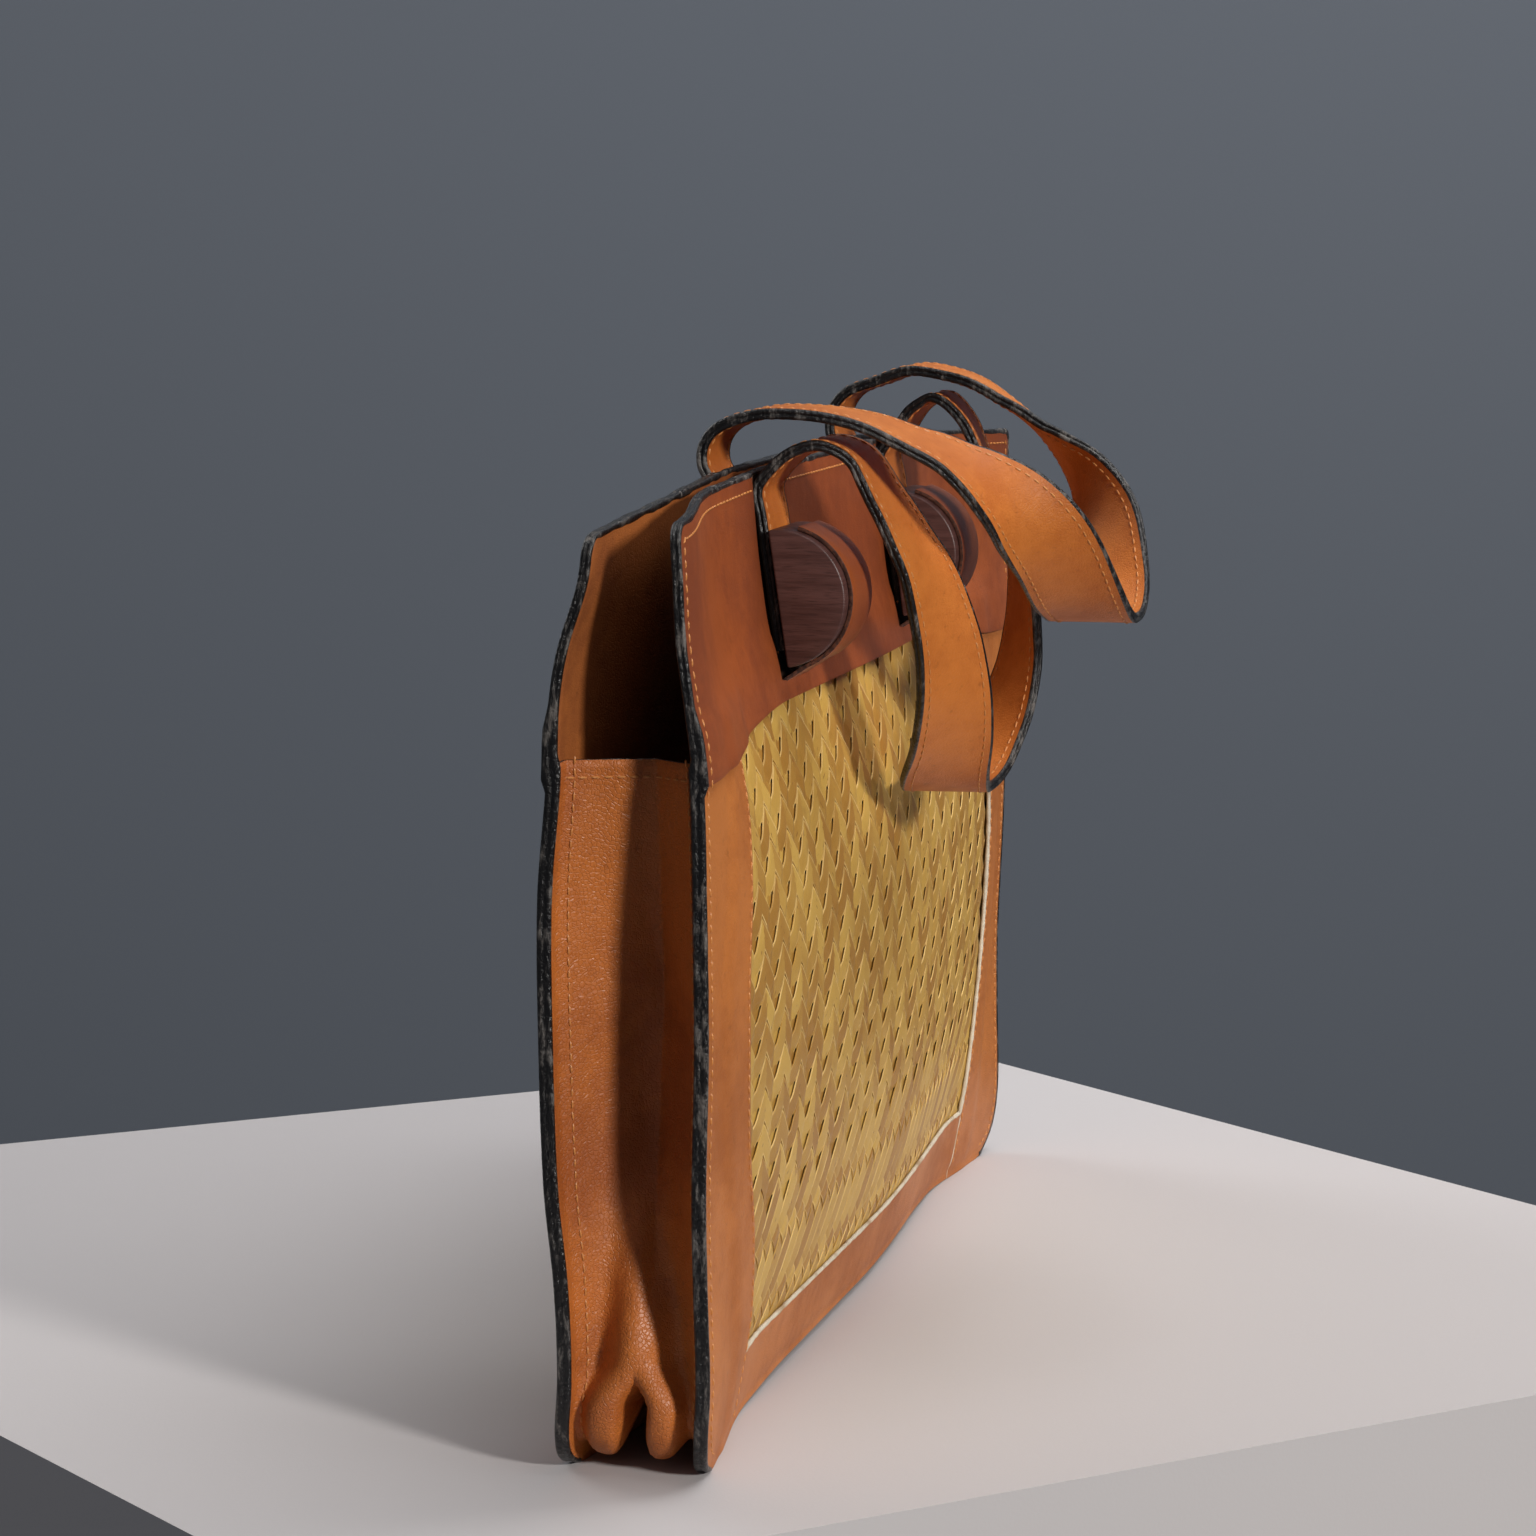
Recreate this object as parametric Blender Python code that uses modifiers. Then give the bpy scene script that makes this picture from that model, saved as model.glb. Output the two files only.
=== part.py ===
"""Straw handbag: two leather panels with woven straw windows, joined by one folded gusset,
a yoke with cut tongues that hold four wooden half-rounds, and two flat leather handles.

Metres, +Z up. X runs along the bag's width, the front faces -Y, and the bag stands on z = 0.
"""
import math

import bmesh
import bpy
from mathutils import Matrix, Vector

# Driving sizes of the bag
WIDTH = 0.400
HEIGHT = 0.245
HALF_DEPTH = 0.0187
TOP_CORNER = 0.014
FOOT_CORNER = 0.018
BASE_LIFT = 0.0025
END_REACH = 0.075

# Leather, straw and the gap between touching layers
PANEL_WALL = 0.0010
LEATHER_WALL = 0.0012
STRAW_WALL = 0.0010
GUSSET_WALL = 0.0010
GAP = 0.0004
SEAM_GAP = 0.0005
LAP = 0.007
YOKE_LAP = 0.004
LEAD = 0.007
RAMP = 0.010

# Rows of the walls' grids crowd towards the foot, where the walls curve most
ROW_CROWD = 1.12
CORNER_STEPS = 3
MIDDLE_STEPS = 10

# Border strips, straw window and yoke
SIDE_STRIP = 0.042
FOOT_STRIP = 0.022
STRIP_WAVE = 0.0012
YOKE_DROP = 0.061
YOKE_DIP = 0.008
DIP_START = 0.42
DIP_END = 0.92

# Gusset between the panels
GUSSET_TOP = 0.181
SEAM = 0.005
FOLD_DEPTH = 0.022
FOLD_POWER = 1.5
ROLL_WIDTH = 0.15
FOLD_STATIONS = [0.16, 0.36, 0.50, 0.64, 0.84]

# Wooden half-rounds and the tongues that hold them
WOOD_RADIUS = 0.0186
WOOD_LENGTH = 0.030
WOOD_SPACING = 0.144
WOOD_DROP = 0.0345
WOOD_ARRIS = 0.0005
WOOD_SIDES = 24
NOTCH_CLEAR = 0.0012
STRAP_CLEAR = 0.0006
TONGUE_WIDTH = 0.022
TONGUE_TOP = math.radians(68)
TONGUE_START = math.radians(-75)
TONGUE_STEPS = 9

# Handles
STRAP_WIDTH = 0.025
STRAP_WALL = 0.0028
FRONT_REACH = 0.038
FRONT_HANG = 0.0945
FRONT_RISE = 0.007
BACK_REACH = 0.080
BACK_HANG = 0.045
BACK_RISE = 0.0155
# Places of the strap behind its wood, in wood radii up from the wood's middle
STRAP_TAIL = [-0.75, -0.25, 0.25, 0.75, 1.2, 1.6]

# How far each wall stands out at the two ends of the bag, in shares of HALF_DEPTH
END_PROFILE = [
    dict(height=0.00, front=0.84, back=1.00),
    dict(height=0.04, front=0.95, back=0.91),
    dict(height=0.10, front=1.01, back=0.84),
    dict(height=0.20, front=0.98, back=0.88),
    dict(height=0.30, front=0.96, back=1.01),
    dict(height=0.45, front=1.00, back=1.07),
    dict(height=0.60, front=0.98, back=1.07),
    dict(height=0.72, front=0.94, back=0.94),
    dict(height=0.80, front=0.82, back=0.90),
    dict(height=0.87, front=0.71, back=0.77),
    dict(height=0.95, front=0.66, back=0.50),
    dict(height=1.00, front=0.63, back=0.42),
]
# The same at mid-width, where the foot is drawn in and the mouth is pinched
MIDDLE_PROFILE = [
    dict(height=0.00, front=0.42, back=0.50),
    dict(height=0.06, front=0.58, back=0.62),
    dict(height=0.15, front=0.84, back=0.82),
    dict(height=0.30, front=1.04, back=1.02),
    dict(height=0.50, front=1.08, back=1.08),
    dict(height=0.65, front=0.86, back=0.94),
    dict(height=0.78, front=0.50, back=0.70),
    dict(height=0.90, front=0.29, back=0.47),
    dict(height=1.00, front=0.14, back=0.33),
]
# The gusset's inward fold along its path, from one top hem (0) to mid-foot (1).
# fold and ridge are shares of FOLD_DEPTH: ridge is the roll that stands back out of the fold.
FOLDS = [
    dict(place=0.00, fold=0.42, ridge=0.00),
    dict(place=0.12, fold=0.62, ridge=0.00),
    dict(place=0.26, fold=0.86, ridge=0.00),
    dict(place=0.36, fold=0.86, ridge=0.10),
    dict(place=0.43, fold=0.78, ridge=0.34),
    dict(place=0.49, fold=0.72, ridge=0.16),
    dict(place=0.56, fold=0.84, ridge=0.02),
    dict(place=0.75, fold=0.74, ridge=0.00),
    dict(place=1.00, fold=0.66, ridge=0.00),
]
# One leg of a handle, from the bag's top edge to the middle of its hanging loop.
# along is a share of half WOOD_SPACING, out of the reach, up of the rise, down of the hang,
# and turn is how far the strap's width has turned from X to -Y.
FRONT_LEG = [
    dict(along=1.000, out=0.200, up=0.21, down=0.000, turn=0),
    dict(along=0.997, out=0.340, up=0.79, down=0.000, turn=0),
    dict(along=0.985, out=0.530, up=1.00, down=0.000, turn=3),
    dict(along=0.955, out=0.740, up=0.43, down=0.000, turn=5),
    dict(along=0.917, out=0.908, up=0.00, down=0.085, turn=8),
    dict(along=0.875, out=1.040, up=0.00, down=0.190, turn=13),
    dict(along=0.833, out=1.158, up=0.00, down=0.296, turn=18),
    dict(along=0.764, out=1.237, up=0.00, down=0.423, turn=24),
    dict(along=0.694, out=1.280, up=0.00, down=0.550, turn=30),
    dict(along=0.611, out=1.276, up=0.00, down=0.688, turn=37),
    dict(along=0.486, out=1.210, up=0.00, down=0.825, turn=47),
    dict(along=0.333, out=1.105, up=0.00, down=0.930, turn=62),
    dict(along=0.167, out=1.040, up=0.00, down=0.984, turn=77),
    dict(along=0.000, out=1.000, up=0.00, down=1.000, turn=90),
]
BACK_LEG = [
    dict(along=1.000, out=-0.150, up=0.10, down=0.000, turn=0),
    dict(along=1.000, out=-0.142, up=0.48, down=0.000, turn=0),
    dict(along=1.000, out=-0.087, up=0.78, down=0.000, turn=0),
    dict(along=1.000, out=0.025, up=0.97, down=0.000, turn=0),
    dict(along=0.998, out=0.144, up=1.00, down=0.000, turn=1),
    dict(along=0.986, out=0.275, up=0.94, down=0.000, turn=3),
    dict(along=0.958, out=0.400, up=0.78, down=0.000, turn=7),
    dict(along=0.917, out=0.531, up=0.48, down=0.000, turn=11),
    dict(along=0.861, out=0.638, up=0.19, down=0.000, turn=18),
    dict(along=0.806, out=0.738, up=0.00, down=0.067, turn=26),
    dict(along=0.694, out=0.850, up=0.00, down=0.267, turn=39),
    dict(along=0.540, out=0.938, up=0.00, down=0.511, turn=52),
    dict(along=0.330, out=0.985, up=0.00, down=0.815, turn=68),
    dict(along=0.150, out=1.000, up=0.00, down=0.965, turn=82),
    dict(along=0.000, out=1.000, up=0.00, down=1.000, turn=90),
]
FAR_LEG_LIFT = 0.005

FRONT = -1
BACK = 1
NEAR = -1
FAR = 1

# Colours are linear red, green, blue; then roughness and metallic
TAN = ((0.56, 0.16, 0.030), 0.45, 0.0)
RED_BROWN = ((0.26, 0.065, 0.020), 0.42, 0.0)
BORDER_TAN = ((0.45, 0.15, 0.035), 0.50, 0.0)
GUSSET_TAN = ((0.48, 0.13, 0.025), 0.48, 0.0)
STRAW_GOLD = ((0.50, 0.30, 0.07), 0.55, 0.0)
DARK_WOOD = ((0.10, 0.035, 0.028), 0.40, 0.0)


def clear_scene():
    """Remove every object, so that the script can run twice."""
    for thing in list(bpy.data.objects):
        bpy.data.objects.remove(thing, do_unlink=True)


def material(name, finish):
    """A Principled material of one colour, roughness and metallic value."""
    colour, roughness, metallic = finish
    made = bpy.data.materials.new(name)
    made.use_nodes = True
    shader = made.node_tree.nodes["Principled BSDF"]
    shader.inputs["Base Color"].default_value = (*colour, 1.0)
    shader.inputs["Roughness"].default_value = roughness
    shader.inputs["Metallic"].default_value = metallic
    return made


def ease(share):
    """Smooth step from 0 to 1."""
    share = min(max(share, 0.0), 1.0)
    return share * share * (3.0 - 2.0 * share)


def mix(start, end, share):
    return start + (end - start) * share


def shares(count):
    """count + 1 even shares from 0 to 1."""
    return [step / count for step in range(count + 1)]


def read(table, key, at, column):
    """A column of a table at a place between its rows, on a smooth curve through them."""
    last = len(table) - 2
    row = 0
    while row < last and at > table[row + 1][key]:
        row += 1
    before, start = table[max(row - 1, 0)], table[row]
    end, after = table[row + 1], table[min(row + 2, last + 1)]
    span = end[key] - start[key]
    share = min(max((at - start[key]) / span, 0.0), 1.0)
    slope_in = (end[column] - before[column]) / (end[key] - before[key]) * span
    slope_out = (after[column] - start[column]) / (after[key] - start[key]) * span
    square, cube = share ** 2, share ** 3
    return ((2 * cube - 3 * square + 1) * start[column] + (cube - 2 * square + share) * slope_in
            + (3 * square - 2 * cube) * end[column] + (cube - square) * slope_out)


def corner_rows():
    """Heights of the rows round a foot corner, closer towards the ground."""
    return [FOOT_CORNER * (1.0 - math.cos(share * math.pi / 2)) for share in shares(CORNER_STEPS)]


def half_width(z):
    """Half the panel's width at a height, with its rounded corners."""
    edge = WIDTH / 2
    if z < FOOT_CORNER:
        rise = FOOT_CORNER - max(z, 0.0)
        return edge - FOOT_CORNER + math.sqrt(max(FOOT_CORNER ** 2 - rise ** 2, 0.0))
    if z > HEIGHT - TOP_CORNER:
        rise = min(z, HEIGHT) - (HEIGHT - TOP_CORNER)
        return edge - TOP_CORNER + math.sqrt(max(TOP_CORNER ** 2 - rise ** 2, 0.0))
    return edge


def lift(x, z):
    """The foot rises off the ground between the two side strips."""
    share = ease((WIDTH / 2 - SIDE_STRIP - abs(x)) / END_REACH)
    return BASE_LIFT * share * max(0.0, 1.0 - z / FOOT_STRIP)


def wall_y(side, x, z, out=0.0):
    """The wall's inner face, plus a distance outwards. Its foot edge stands upright."""
    column = "front" if side == FRONT else "back"
    height = min(max(z, corner_rows()[1]) / HEIGHT, 1.0)
    inwards = ease((WIDTH / 2 - abs(x)) / END_REACH)
    share = mix(read(END_PROFILE, "height", height, column),
                read(MIDDLE_PROFILE, "height", height, column), inwards)
    return side * (share * HALF_DEPTH + out)


def yoke_low(x):
    """The yoke's lower edge: level in the middle, dipping towards the side seams."""
    share = ease((abs(x) / (WIDTH / 2) - DIP_START) / (DIP_END - DIP_START))
    return HEIGHT - YOKE_DROP - YOKE_DIP * share


def strip_inner(z):
    """The side strip's inner edge, which waves a little, two waves to its height."""
    return WIDTH / 2 - SIDE_STRIP + STRIP_WAVE * math.sin(4.0 * math.pi * z / HEIGHT)


def ramp_inside(distance):
    """1 inside an edge and for a short lead outside it, then falling to 0 over a ramp."""
    return 1.0 - ease((distance - LEAD) / RAMP)


def straw_lift(x, z):
    """How much the straw raises the layers over it."""
    sideways = abs(x) - (strip_inner(z) + LAP)
    below = (FOOT_STRIP - LAP) - max(z, corner_rows()[1])
    above = z - (yoke_low(x) + YOKE_LAP)
    cover = ramp_inside(sideways) * ramp_inside(below) * ramp_inside(above)
    return (STRAW_WALL + GAP) * cover


def strip_lift(x, z):
    """How much the side strips raise the yoke."""
    inside = strip_inner(z) - abs(x)
    above = z - (yoke_low(x) + YOKE_LAP)
    return (LEATHER_WALL + GAP) * ramp_inside(inside) * ramp_inside(above)


def sheet(name, columns, rows, place, wall, finish, skip=(), flip=False, extra=None):
    """An open grid of faces, given its thickness by Solidify.

    place(column, row) returns a point, skip holds the grid cells left out, and extra may add
    more faces to the bmesh before the thickness is given.
    """
    bm = bmesh.new()
    grid = [[None] * len(rows) for _ in columns]

    def vertex(i, j):
        if grid[i][j] is None:
            grid[i][j] = bm.verts.new(place(columns[i], rows[j]))
        return grid[i][j]

    for i in range(len(columns) - 1):
        for j in range(len(rows) - 1):
            if (i, j) in skip:
                continue
            corners = [vertex(i, j), vertex(i + 1, j), vertex(i + 1, j + 1), vertex(i, j + 1)]
            bm.faces.new(corners[::-1] if flip else corners)
    if extra:
        extra(bm, vertex)
    mesh = bpy.data.meshes.new(name)
    bm.to_mesh(mesh)
    bm.free()
    mesh.shade_smooth()
    made = bpy.data.objects.new(name, mesh)
    made.data.materials.append(material(name + "_finish", finish))
    thicken = made.modifiers.new("wall", "SOLIDIFY")
    thicken.thickness = wall
    thicken.offset = 1.0
    thicken.use_even_offset = True
    thicken.use_quality_normals = True
    return made


def side_name(side):
    return "front" if side == FRONT else "back"


def end_name(end):
    return "near" if end == NEAR else "far"


def point(side, x, z, out):
    """A point of a layer, its foot raised off the ground between the ends."""
    return Vector((x, wall_y(side, x, z, out), z + lift(x, z)))


def wall_stations(limit):
    """Places across the bag from -limit to limit, closer where the walls curve near its ends."""
    flat = WIDTH / 2 - END_REACH
    places = [flat * share for share in shares(3)]
    places += [mix(flat, WIDTH / 2, share) for share in shares(6)[1:]]
    right = [place for place in places if place < limit - GAP] + [limit]
    return [-place for place in reversed(right[1:])] + right


def panel_rows():
    """Heights of the panel's rows, closer at the rounded corners."""
    corner = [1.0 - math.cos(share * math.pi / 2) for share in shares(CORNER_STEPS)]
    high = [HEIGHT - TOP_CORNER * share for share in reversed(corner)]
    low = corner_rows() + [FOOT_STRIP]
    middle = [mix(low[-1], high[0], share ** ROW_CROWD) for share in shares(MIDDLE_STEPS)]
    return low[:-1] + middle + high[1:]


def panel(side):
    """The inner leather panel, from foot to mouth."""
    def place(share, z):
        return point(side, share * half_width(z), z, 0.0)

    columns = [2.0 * place / WIDTH for place in wall_stations(WIDTH / 2)]
    return sheet(side_name(side) + "_panel", columns, panel_rows(), place, PANEL_WALL, BORDER_TAN,
                 flip=side == BACK)


def rows_between(low, high):
    """The panel's row heights between two heights, and the two heights themselves."""
    margin = corner_rows()[1] / 2
    return [low] + [z for z in panel_rows() if low + margin < z < high - margin] + [high]


def straw(side):
    """The woven straw sheet, tucked under the strips and the yoke."""
    top = HEIGHT - YOKE_DROP - YOKE_DIP

    def place(across, z):
        x = across * (strip_inner(z) + LAP - GAP)
        if z == top:
            z = yoke_low(x) + YOKE_LAP
        return point(side, x, z, PANEL_WALL + GAP)

    reach = WIDTH / 2 - SIDE_STRIP + LAP
    columns = [place / reach for place in wall_stations(reach)]
    return sheet(side_name(side) + "_straw", columns, rows_between(FOOT_STRIP - LAP, top), place,
                 STRAW_WALL, STRAW_GOLD, flip=side == BACK)


def side_strip(side, end):
    """The border strip down one side, from the foot to under the yoke."""
    def place(across, z):
        outer = half_width(z)
        x = mix(min(strip_inner(z), outer), outer, across) * end
        return point(side, x, z, PANEL_WALL + GAP + straw_lift(x, z))

    top = yoke_low(WIDTH / 2) + YOKE_LAP
    flip = (side == BACK) != (end == NEAR)
    name = f"{side_name(side)}_strip_{end_name(end)}"
    return sheet(name, shares(6), rows_between(0.0, top), place, LEATHER_WALL, BORDER_TAN,
                 flip=flip)


def foot_strip(side):
    """The border strip along the foot, between the side strips."""
    def place(across, z):
        x = across * (strip_inner(z) - GAP)
        return point(side, x, z, PANEL_WALL + GAP + straw_lift(x, z))

    reach = WIDTH / 2 - SIDE_STRIP
    columns = [place / reach for place in wall_stations(reach)]
    return sheet(side_name(side) + "_foot_strip", columns, corner_rows() + [FOOT_STRIP], place,
                 LEATHER_WALL, BORDER_TAN, flip=side == BACK)


def wood_seat(side, end):
    """The frame of a half-round: X along the bag, Y away from its flat side, Z up the wall."""
    x = end * WOOD_SPACING / 2
    z = HEIGHT - WOOD_DROP
    low, high = z - WOOD_RADIUS, z + WOOD_RADIUS
    up = Vector((0.0, wall_y(side, x, high) - wall_y(side, x, low), high - low)).normalized()
    out = Vector((0.0, side * up.z, -side * up.y))
    middle = Vector((x, (wall_y(side, x, low) + wall_y(side, x, high)) / 2, z))
    middle += out * (PANEL_WALL + STRAP_WALL + 2 * STRAP_CLEAR)
    return Matrix.Translation(middle) @ Matrix((Vector((1, 0, 0)), out, up)).transposed().to_4x4()


def yoke(side):
    """The yoke: its top is notched for each strap, and each notch's leather is a tongue that
    stays joined at the bottom and runs out over the wood."""
    notch = WOOD_LENGTH / 2 + NOTCH_CLEAR
    tongue = TONGUE_WIDTH / 2
    centre = WOOD_SPACING / 2
    notch_low = HEIGHT - WOOD_DROP - WOOD_RADIUS - 2 * NOTCH_CLEAR
    half = WIDTH / 2
    cuts = [centre - notch, centre - tongue, centre, centre + tongue, centre + notch]
    stations = [place for place in wall_stations(half) if place >= 0.0]
    positive = sorted([place for place in stations if not cuts[0] <= place <= cuts[-1]] + cuts)
    columns = [-x / half for x in reversed(positive[1:])] + [x / half for x in positive]
    corner_low = 1.0 - TOP_CORNER / (HEIGHT - notch_low)
    rows = [("low", share) for share in shares(2)]
    rows += [("high", corner_low * share) for share in shares(3)[1:]]
    rows += [("high", mix(corner_low, 1.0, math.sin(share * math.pi / 2)))
             for share in shares(CORNER_STEPS)[1:]]

    def place(share, row):
        part, up = row
        z = mix(yoke_low(share * half), notch_low, up) if part == "low" else mix(notch_low, HEIGHT, up)
        outside = max(0.0, abs(share) * half - cuts[-1]) / (half - cuts[-1])
        x = math.copysign(min(abs(share) * half, cuts[-1]), share)
        x += math.copysign(outside * (half_width(z) - cuts[-1]), share)
        return point(side, x, z, PANEL_WALL + GAP + straw_lift(x, z) + strip_lift(x, z))

    first_row = rows.index(("low", 1.0))
    low_x, high_x = (centre - notch) / half, (centre + notch) / half
    skip = set()
    for i in range(len(columns) - 1):
        middle = abs(columns[i] + columns[i + 1]) / 2
        if low_x < middle < high_x:
            skip.update((i, j) for j in range(first_row, len(rows) - 1))

    def tongues(bm, vertex):
        """Faces of both tongues, joined to the yoke at the notch's lower edge."""
        for end in (NEAR, FAR):
            seat = wood_seat(side, end)
            reach = WOOD_RADIUS + GAP
            wanted = (centre - tongue, centre, centre + tongue)
            near = [min(range(len(columns)), key=lambda i: abs(columns[i] * half - end * w))
                    for w in sorted(wanted, key=lambda w: w * end)]
            previous = [vertex(i, first_row) for i in near]
            base_x = [v.co.x for v in previous]
            for share in shares(TONGUE_STEPS):
                angle = mix(TONGUE_START, TONGUE_TOP, share)
                row = []
                for x in base_x:
                    local = Vector((x - end * centre, reach * math.cos(angle),
                                    reach * math.sin(angle)))
                    row.append(bm.verts.new(seat @ local))
                for k in range(2):
                    corners = [previous[k], previous[k + 1], row[k + 1], row[k]]
                    bm.faces.new(corners[::-1] if side == BACK else corners)
                previous = row

    return sheet(side_name(side) + "_yoke", columns, rows, place, LEATHER_WALL, RED_BROWN,
                 skip=skip, flip=side == BACK, extra=tongues)


def gusset_path():
    """Stations along half the gusset, top hem to mid-foot: point on the outline, inward way."""
    edge = WIDTH / 2
    side_run = GUSSET_TOP - FOOT_CORNER
    arc_run = FOOT_CORNER * math.pi / 2
    foot_run = edge - FOOT_CORNER
    total = side_run + arc_run + foot_run
    stations = []
    heights = [height for height in reversed(panel_rows()) if FOOT_CORNER < height < GUSSET_TOP - SEAM]
    for height in [GUSSET_TOP] + heights + [FOOT_CORNER]:
        stations.append(((GUSSET_TOP - height) / total, -edge, height, 1.0, 0.0))
    for share in shares(CORNER_STEPS)[1:]:
        angle = share * math.pi / 2
        stations.append(((side_run + share * arc_run) / total,
                         -edge + FOOT_CORNER - FOOT_CORNER * math.cos(angle),
                         FOOT_CORNER - FOOT_CORNER * math.sin(angle),
                         math.cos(angle), math.sin(angle)))
    for station in wall_stations(edge):
        if -edge < station <= 0.0:
            x = station * foot_run / edge
            stations.append(((total + x) / total, x, 0.0, 0.0, 1.0))
    return stations


def gusset():
    """One leather strip down a side, along the foot and up the other side, folded inwards."""
    half = gusset_path()
    other = [(place, -x, z, -in_x, in_z) for place, x, z, in_x, in_z in reversed(half[:-1])]
    stations = half + other
    upright = corner_rows()[1] / SEAM
    across = [(0.0, 0.0), (0.0, upright), (0.0, 1.0)] + [(a, None) for a in FOLD_STATIONS]
    across += [(1.0, 1.0), (1.0, upright), (1.0, 0.0)]

    def place(spot, station):
        share, seam_share = spot
        where, x, z, in_x, in_z = station
        if seam_share is None:
            fold = read(FOLDS, "place", where, "fold") * FOLD_DEPTH
            ridge = read(FOLDS, "place", where, "ridge") * FOLD_DEPTH
            dip = 1.0 - abs(2.0 * share - 1.0) ** FOLD_POWER
            roll = math.exp(-((share - 0.5) / ROLL_WIDTH) ** 2)
            depth = SEAM + (fold - SEAM) * dip - ridge * roll
        else:
            depth = SEAM * seam_share
        x, z = x + in_x * depth, z + in_z * depth
        front = wall_y(FRONT, x, z) + SEAM_GAP
        back = wall_y(BACK, x, z) - SEAM_GAP
        return Vector((x, mix(front, back, share), z + lift(x, z)))

    return sheet("gusset", across, stations, place, GUSSET_WALL, GUSSET_TAN)


def wood(side, end):
    """A wooden half-round, its flat side to the bag."""
    name = f"{side_name(side)}_wood_{end_name(end)}"
    bm = bmesh.new()
    turn = Matrix.Rotation(math.pi / 2, 4, "Y")
    bmesh.ops.create_cone(bm, cap_ends=True, segments=WOOD_SIDES, radius1=WOOD_RADIUS,
                          radius2=WOOD_RADIUS, depth=WOOD_LENGTH, matrix=turn)
    everything = bm.verts[:] + bm.edges[:] + bm.faces[:]
    cut = bmesh.ops.bisect_plane(bm, geom=everything, plane_co=(0, 0, 0), plane_no=(0, -1, 0),
                                 clear_outer=True)
    rim = [part for part in cut["geom_cut"] if isinstance(part, bmesh.types.BMEdge)]
    bmesh.ops.contextual_create(bm, geom=rim)
    bmesh.ops.recalc_face_normals(bm, faces=bm.faces)
    mesh = bpy.data.meshes.new(name)
    bm.to_mesh(mesh)
    bm.free()
    made = bpy.data.objects.new(name, mesh)
    made.matrix_world = wood_seat(side, end)
    made.data.materials.append(material(name + "_finish", DARK_WOOD))
    bevel = made.modifiers.new("arris", "BEVEL")
    bevel.width = WOOD_ARRIS
    bevel.segments = 1
    bevel.limit_method = "ANGLE"
    return made


def strap_keys(side):
    """Key points of a whole handle with its width's turn, from one wood to the other."""
    legs, reach, hang, rise = {
        FRONT: (FRONT_LEG, FRONT_REACH, FRONT_HANG, FRONT_RISE),
        BACK: (BACK_LEG, BACK_REACH, BACK_HANG, BACK_RISE)}[side]
    half = WOOD_SPACING / 2
    behind = -(STRAP_CLEAR + STRAP_WALL / 2)
    seat = wood_seat(side, NEAR)
    keys = []
    for up in STRAP_TAIL:
        keys.append((seat @ Vector((0.0, behind, up * WOOD_RADIUS)), 0.0, 0.0))
    for row in legs:
        spot = Vector((-half * row["along"], -reach * row["out"],
                       HEIGHT + rise * row["up"] - hang * row["down"]))
        raised = min(row["up"], 1.0) * (1.0 if row["along"] < 1.0 else 0.5)
        keys.append((spot, math.radians(row["turn"]), raised))
    mirrored = []
    for spot, turn, raised in reversed(keys[:-1]):
        other = Vector((-spot.x, spot.y, spot.z + FAR_LEG_LIFT * raised))
        mirrored.append((other, math.pi - turn, raised))
    return keys + mirrored


def smooth_path(keys, steps):
    """Points and width directions on a smooth curve through the keys."""
    made = []
    for k in range(len(keys) - 1):
        rows = [keys[max(k - 1, 0)], keys[k], keys[k + 1], keys[min(k + 2, len(keys) - 1)]]
        spots = [row[0] for row in rows]
        turns = [row[1] for row in rows]
        for step in range(steps):
            share = step / steps
            square, cube = share ** 2, share ** 3
            weights = (-0.5 * cube + square - 0.5 * share, 1.5 * cube - 2.5 * square + 1.0,
                       -1.5 * cube + 2.0 * square + 0.5 * share, 0.5 * cube - 0.5 * square)
            spot = sum((w * s for w, s in zip(weights, spots)), Vector((0, 0, 0)))
            turn = sum(w * t for w, t in zip(weights, turns))
            made.append((spot, turn))
    made.append((keys[-1][0], keys[-1][1]))
    return made


def strap(side):
    """A flat leather handle: a ribbon along its path, thickened about its middle."""
    path = smooth_path(strap_keys(side), 2)
    stations = list(range(len(path)))

    def place(across, index):
        spot, turn = path[index]
        before, after = path[max(index - 1, 0)][0], path[min(index + 1, len(path) - 1)][0]
        way = (after - before).normalized()
        width = Vector((math.cos(turn), -math.sin(turn), 0.0))
        width = (width - way * width.dot(way)).normalized()
        return spot + width * across * STRAP_WIDTH / 2

    made = sheet(side_name(side) + "_strap", [-1.0, 1.0], stations, place, STRAP_WALL, TAN)
    made.modifiers["wall"].offset = 0.0
    return made


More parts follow.
